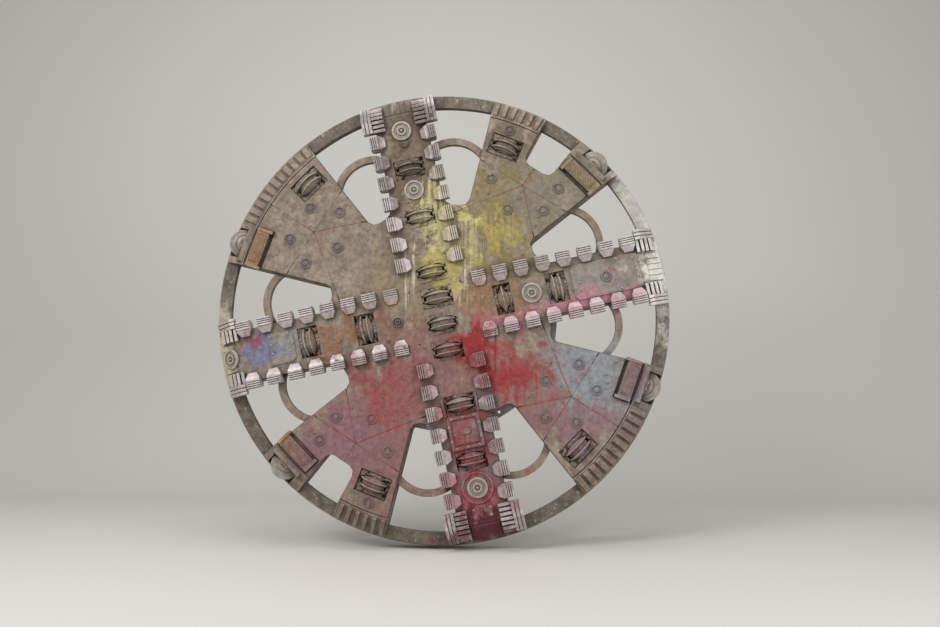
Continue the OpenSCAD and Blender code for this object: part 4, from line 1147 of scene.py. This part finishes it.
def pocket_mud():
    """The mud's height grows with the fill, has lumps, rises to the cutter and slumps where it is low."""
    rng = np.random.default_rng(7)
    parts = []
    t = POCKET_T
    for (r, angle, half), fill in zip(CUTTERS, POCKET_FILLS):
        for side in (-1, 1):
            x = np.linspace(-half - 0.026, half + 0.026, POCKET_COLUMNS)[::-side]
            inner = cutter_outline(x, half > TWIN_HALF)[:, None]
            y = side * (inner + (POCKET_HALF + 0.002 - inner) * t)
            x = np.repeat(x[:, None], len(t), 1)
            slump = np.clip(lumps(rng, x, y, 0.6, 0.12) + 0.7 - fill, 0, 1)
            z = 0.100 * fill - 0.035 + lumps(rng, x, y, 0.010, 0.045) + 0.015 * fill * (1 - t) - 0.10 * slump
            z[:, 0] = WALL_FOOT
            z[:, 1] -= 0.012
            points = np.stack([r + x, y, DISC_H + z], -1).reshape(-1, 3)
            parts.append((on_head(points, angle), [grid_quads(*x.shape)]))
    return join(parts)


# %% [markdown]
# ## Mud carried by the cutters
#
# Between the two rings of a twin cutter clay packs tight and turns with them.
# It is nearly a surface of revolution, r(x, a) = R + waves in a - 6 x^2, which
# dips towards the rings. Each belongs to its own cutter's body.

# %% Mud between the rings
CARRIED_R, CARRIED_HALF = 0.172, 0.030
CARRIED_ROWS, CARRIED_SIDES = 7, 72


def cutter_mud(r, angle, seed):
    rng = np.random.default_rng(seed)
    a = round_angles(CARRIED_SIDES)
    x = np.linspace(-CARRIED_HALF, CARRIED_HALF, CARRIED_ROWS)[:, None]
    waves = sum(rng.normal(0, 0.0035) * np.cos(k * a + rng.uniform(0, 6.3)) for k in (2, 3, 5, 7, 11, 17))
    radius = CARRIED_R + np.clip(waves, -0.010, 0.009) - 6.0 * x ** 2
    points = np.stack([r + x + 0 * radius, radius * np.cos(a), DISC_H + radius * np.sin(a)], -1)
    return on_head(points.reshape(-1, 3), angle), [closed_strips(CARRIED_ROWS, CARRIED_SIDES)]


# %% [markdown]
# ## Mud in the seams
#
# The seams between the wear plates are packed with mud too. The weld bead's
# formula serves again, broad and low and a little below the face.

# %% Mud in the seams
SEAM_FILLS = {"out": 0.780, "right": 0.700, "left": 0.700, "inner left": 1.040, "inner right": 0.740}
# on two of the sectors the outward seam soon meets the notch
NOTCHED, NOTCHED_OUT = (45, 225), 0.300
SEAM_DEPTH, SEAM_HALF_W, SEAM_HEIGHT, SEAM_STEP = 0.012, 0.0085, 0.008, 0.02


def seam_mud():
    parts = []
    for mid in SECTORS:
        for seam, length in SEAM_FILLS.items():
            if seam == "out" and mid in NOTCHED:
                length = NOTCHED_OUT
            start, run = (np.array(row) for row in stroke_ends(mid, seam, length))
            start[1] = SEAM_DEPTH - FACE_H
            parts.append(bead([start, start + run], SEAM_HALF_W, SEAM_HEIGHT, SEAM_STEP, mid + len(seam)))
    return join(parts)


# %% [markdown]
# ## Clods
#
# Bigger lumps lie on the spokes, most of them on the top one, where the ground
# fell on it last. A clod is the crumb's dome again, with finer waves in its rim
# and lumps on its back.

# %% Clods
# spoke angle, place u and v, size
CLODS = [(90, 1.150, 0.030, 0.150), (90, 1.230, -0.150, 0.085), (90, 0.985, 0.180, 0.075),
         (90, 1.020, -0.190, 0.060), (90, 1.745, 0.120, 0.055), (90, 0.900, -0.255, 0.070),
         (90, 0.430, 0.250, 0.060), (0, 0.760, -0.160, 0.055), (180, 0.830, 0.240, 0.050),
         (270, 0.870, 0.210, 0.060), (0, 1.180, 0.260, 0.045), (90, 2.480, 0.150, 0.055)]
CLOD_RINGS, CLOD_SIDES = 12, 40
CLOD_SEED = 20


def clod(seed):
    """Rings that shrink to the top: r(a) = 1 + waves, rise = 0.36 (1 - share^2.4) + lumps."""
    rng = np.random.default_rng(seed)
    a, shares = round_angles(CLOD_SIDES), np.linspace(1.0, 0.06, CLOD_RINGS)[:, None]
    waves = 1 + sum(rng.normal(0, 0.30 / k) * np.cos(k * a + rng.uniform(0, 6.3)) for k in range(1, 9))
    x, y = shares * waves * np.cos(a), 0.62 * shares * waves * np.sin(a)
    back = (1 - shares ** 2.4) * (0.36 + lumps(rng, x, y, 0.10, 0.5)) - 0.02
    return np.stack([x, y, back + 0 * x], -1).reshape(-1, 3), capped(CLOD_RINGS, CLOD_SIDES)


def clods():
    parts = []
    for seed, (angle, u, v, size) in enumerate(CLODS):
        points, faces = clod(CLOD_SEED + seed)
        lain = size * points @ np.array([[0.0, 1, 0], [-1, 0, 0], [0, 0, 1]])
        parts.append((on_head(lain + (u, v, FACE_H), angle), faces))
    return join(parts)


# %% Put the small pieces on
# radius, height, count and size of the bolts on the head's flange and on the turning ring
FLANGE_BOLTS, RING_BOLTS = (1.400, 0.360, 72, 0.024), (1.450, 0.020, 72, 0.018)
add_piece("cutter_clamp_bolts", *clamp_bolts(), "cutter_steel", smooth=False)
add_piece("cover_bolts", *cover_bolts(), "cutter_steel", smooth=False)
add_piece("flange_bolts", *ring_of_bolts(*FLANGE_BOLTS, skip=10.5), "rear_steel", smooth=False)
add_piece("turning_ring_bolts", *ring_of_bolts(*RING_BOLTS, forward=False), "machined_steel", smooth=False)
add_piece("weld_beads", *weld_beads(), "weld_metal")
add_piece("hard_facing_beads", *hard_facing(), "hard_facing")
add_piece("mud_crumbs", *mud_crumbs(), "packed_mud")
add_piece("pocket_mud", *pocket_mud(), "packed_mud")
add_piece("seam_mud", *seam_mud(), "packed_mud")
add_piece("clods", *clods(), "packed_mud")
CUTTER_NAMES = [place + "_%d" % (i + 1) for place, count in
                (("centre", 4), ("right", 2), ("top", 2), ("left", 2), ("bottom", 2), ("sector", 4))
                for i in range(count)]
for seed, (name, (r, angle, half)) in enumerate(zip(CUTTER_NAMES, CUTTERS)):
    if half > TWIN_HALF:
        add_piece("cutter_mud_" + name, *cutter_mud(r, angle, seed), "packed_mud", body="cutter_" + name)
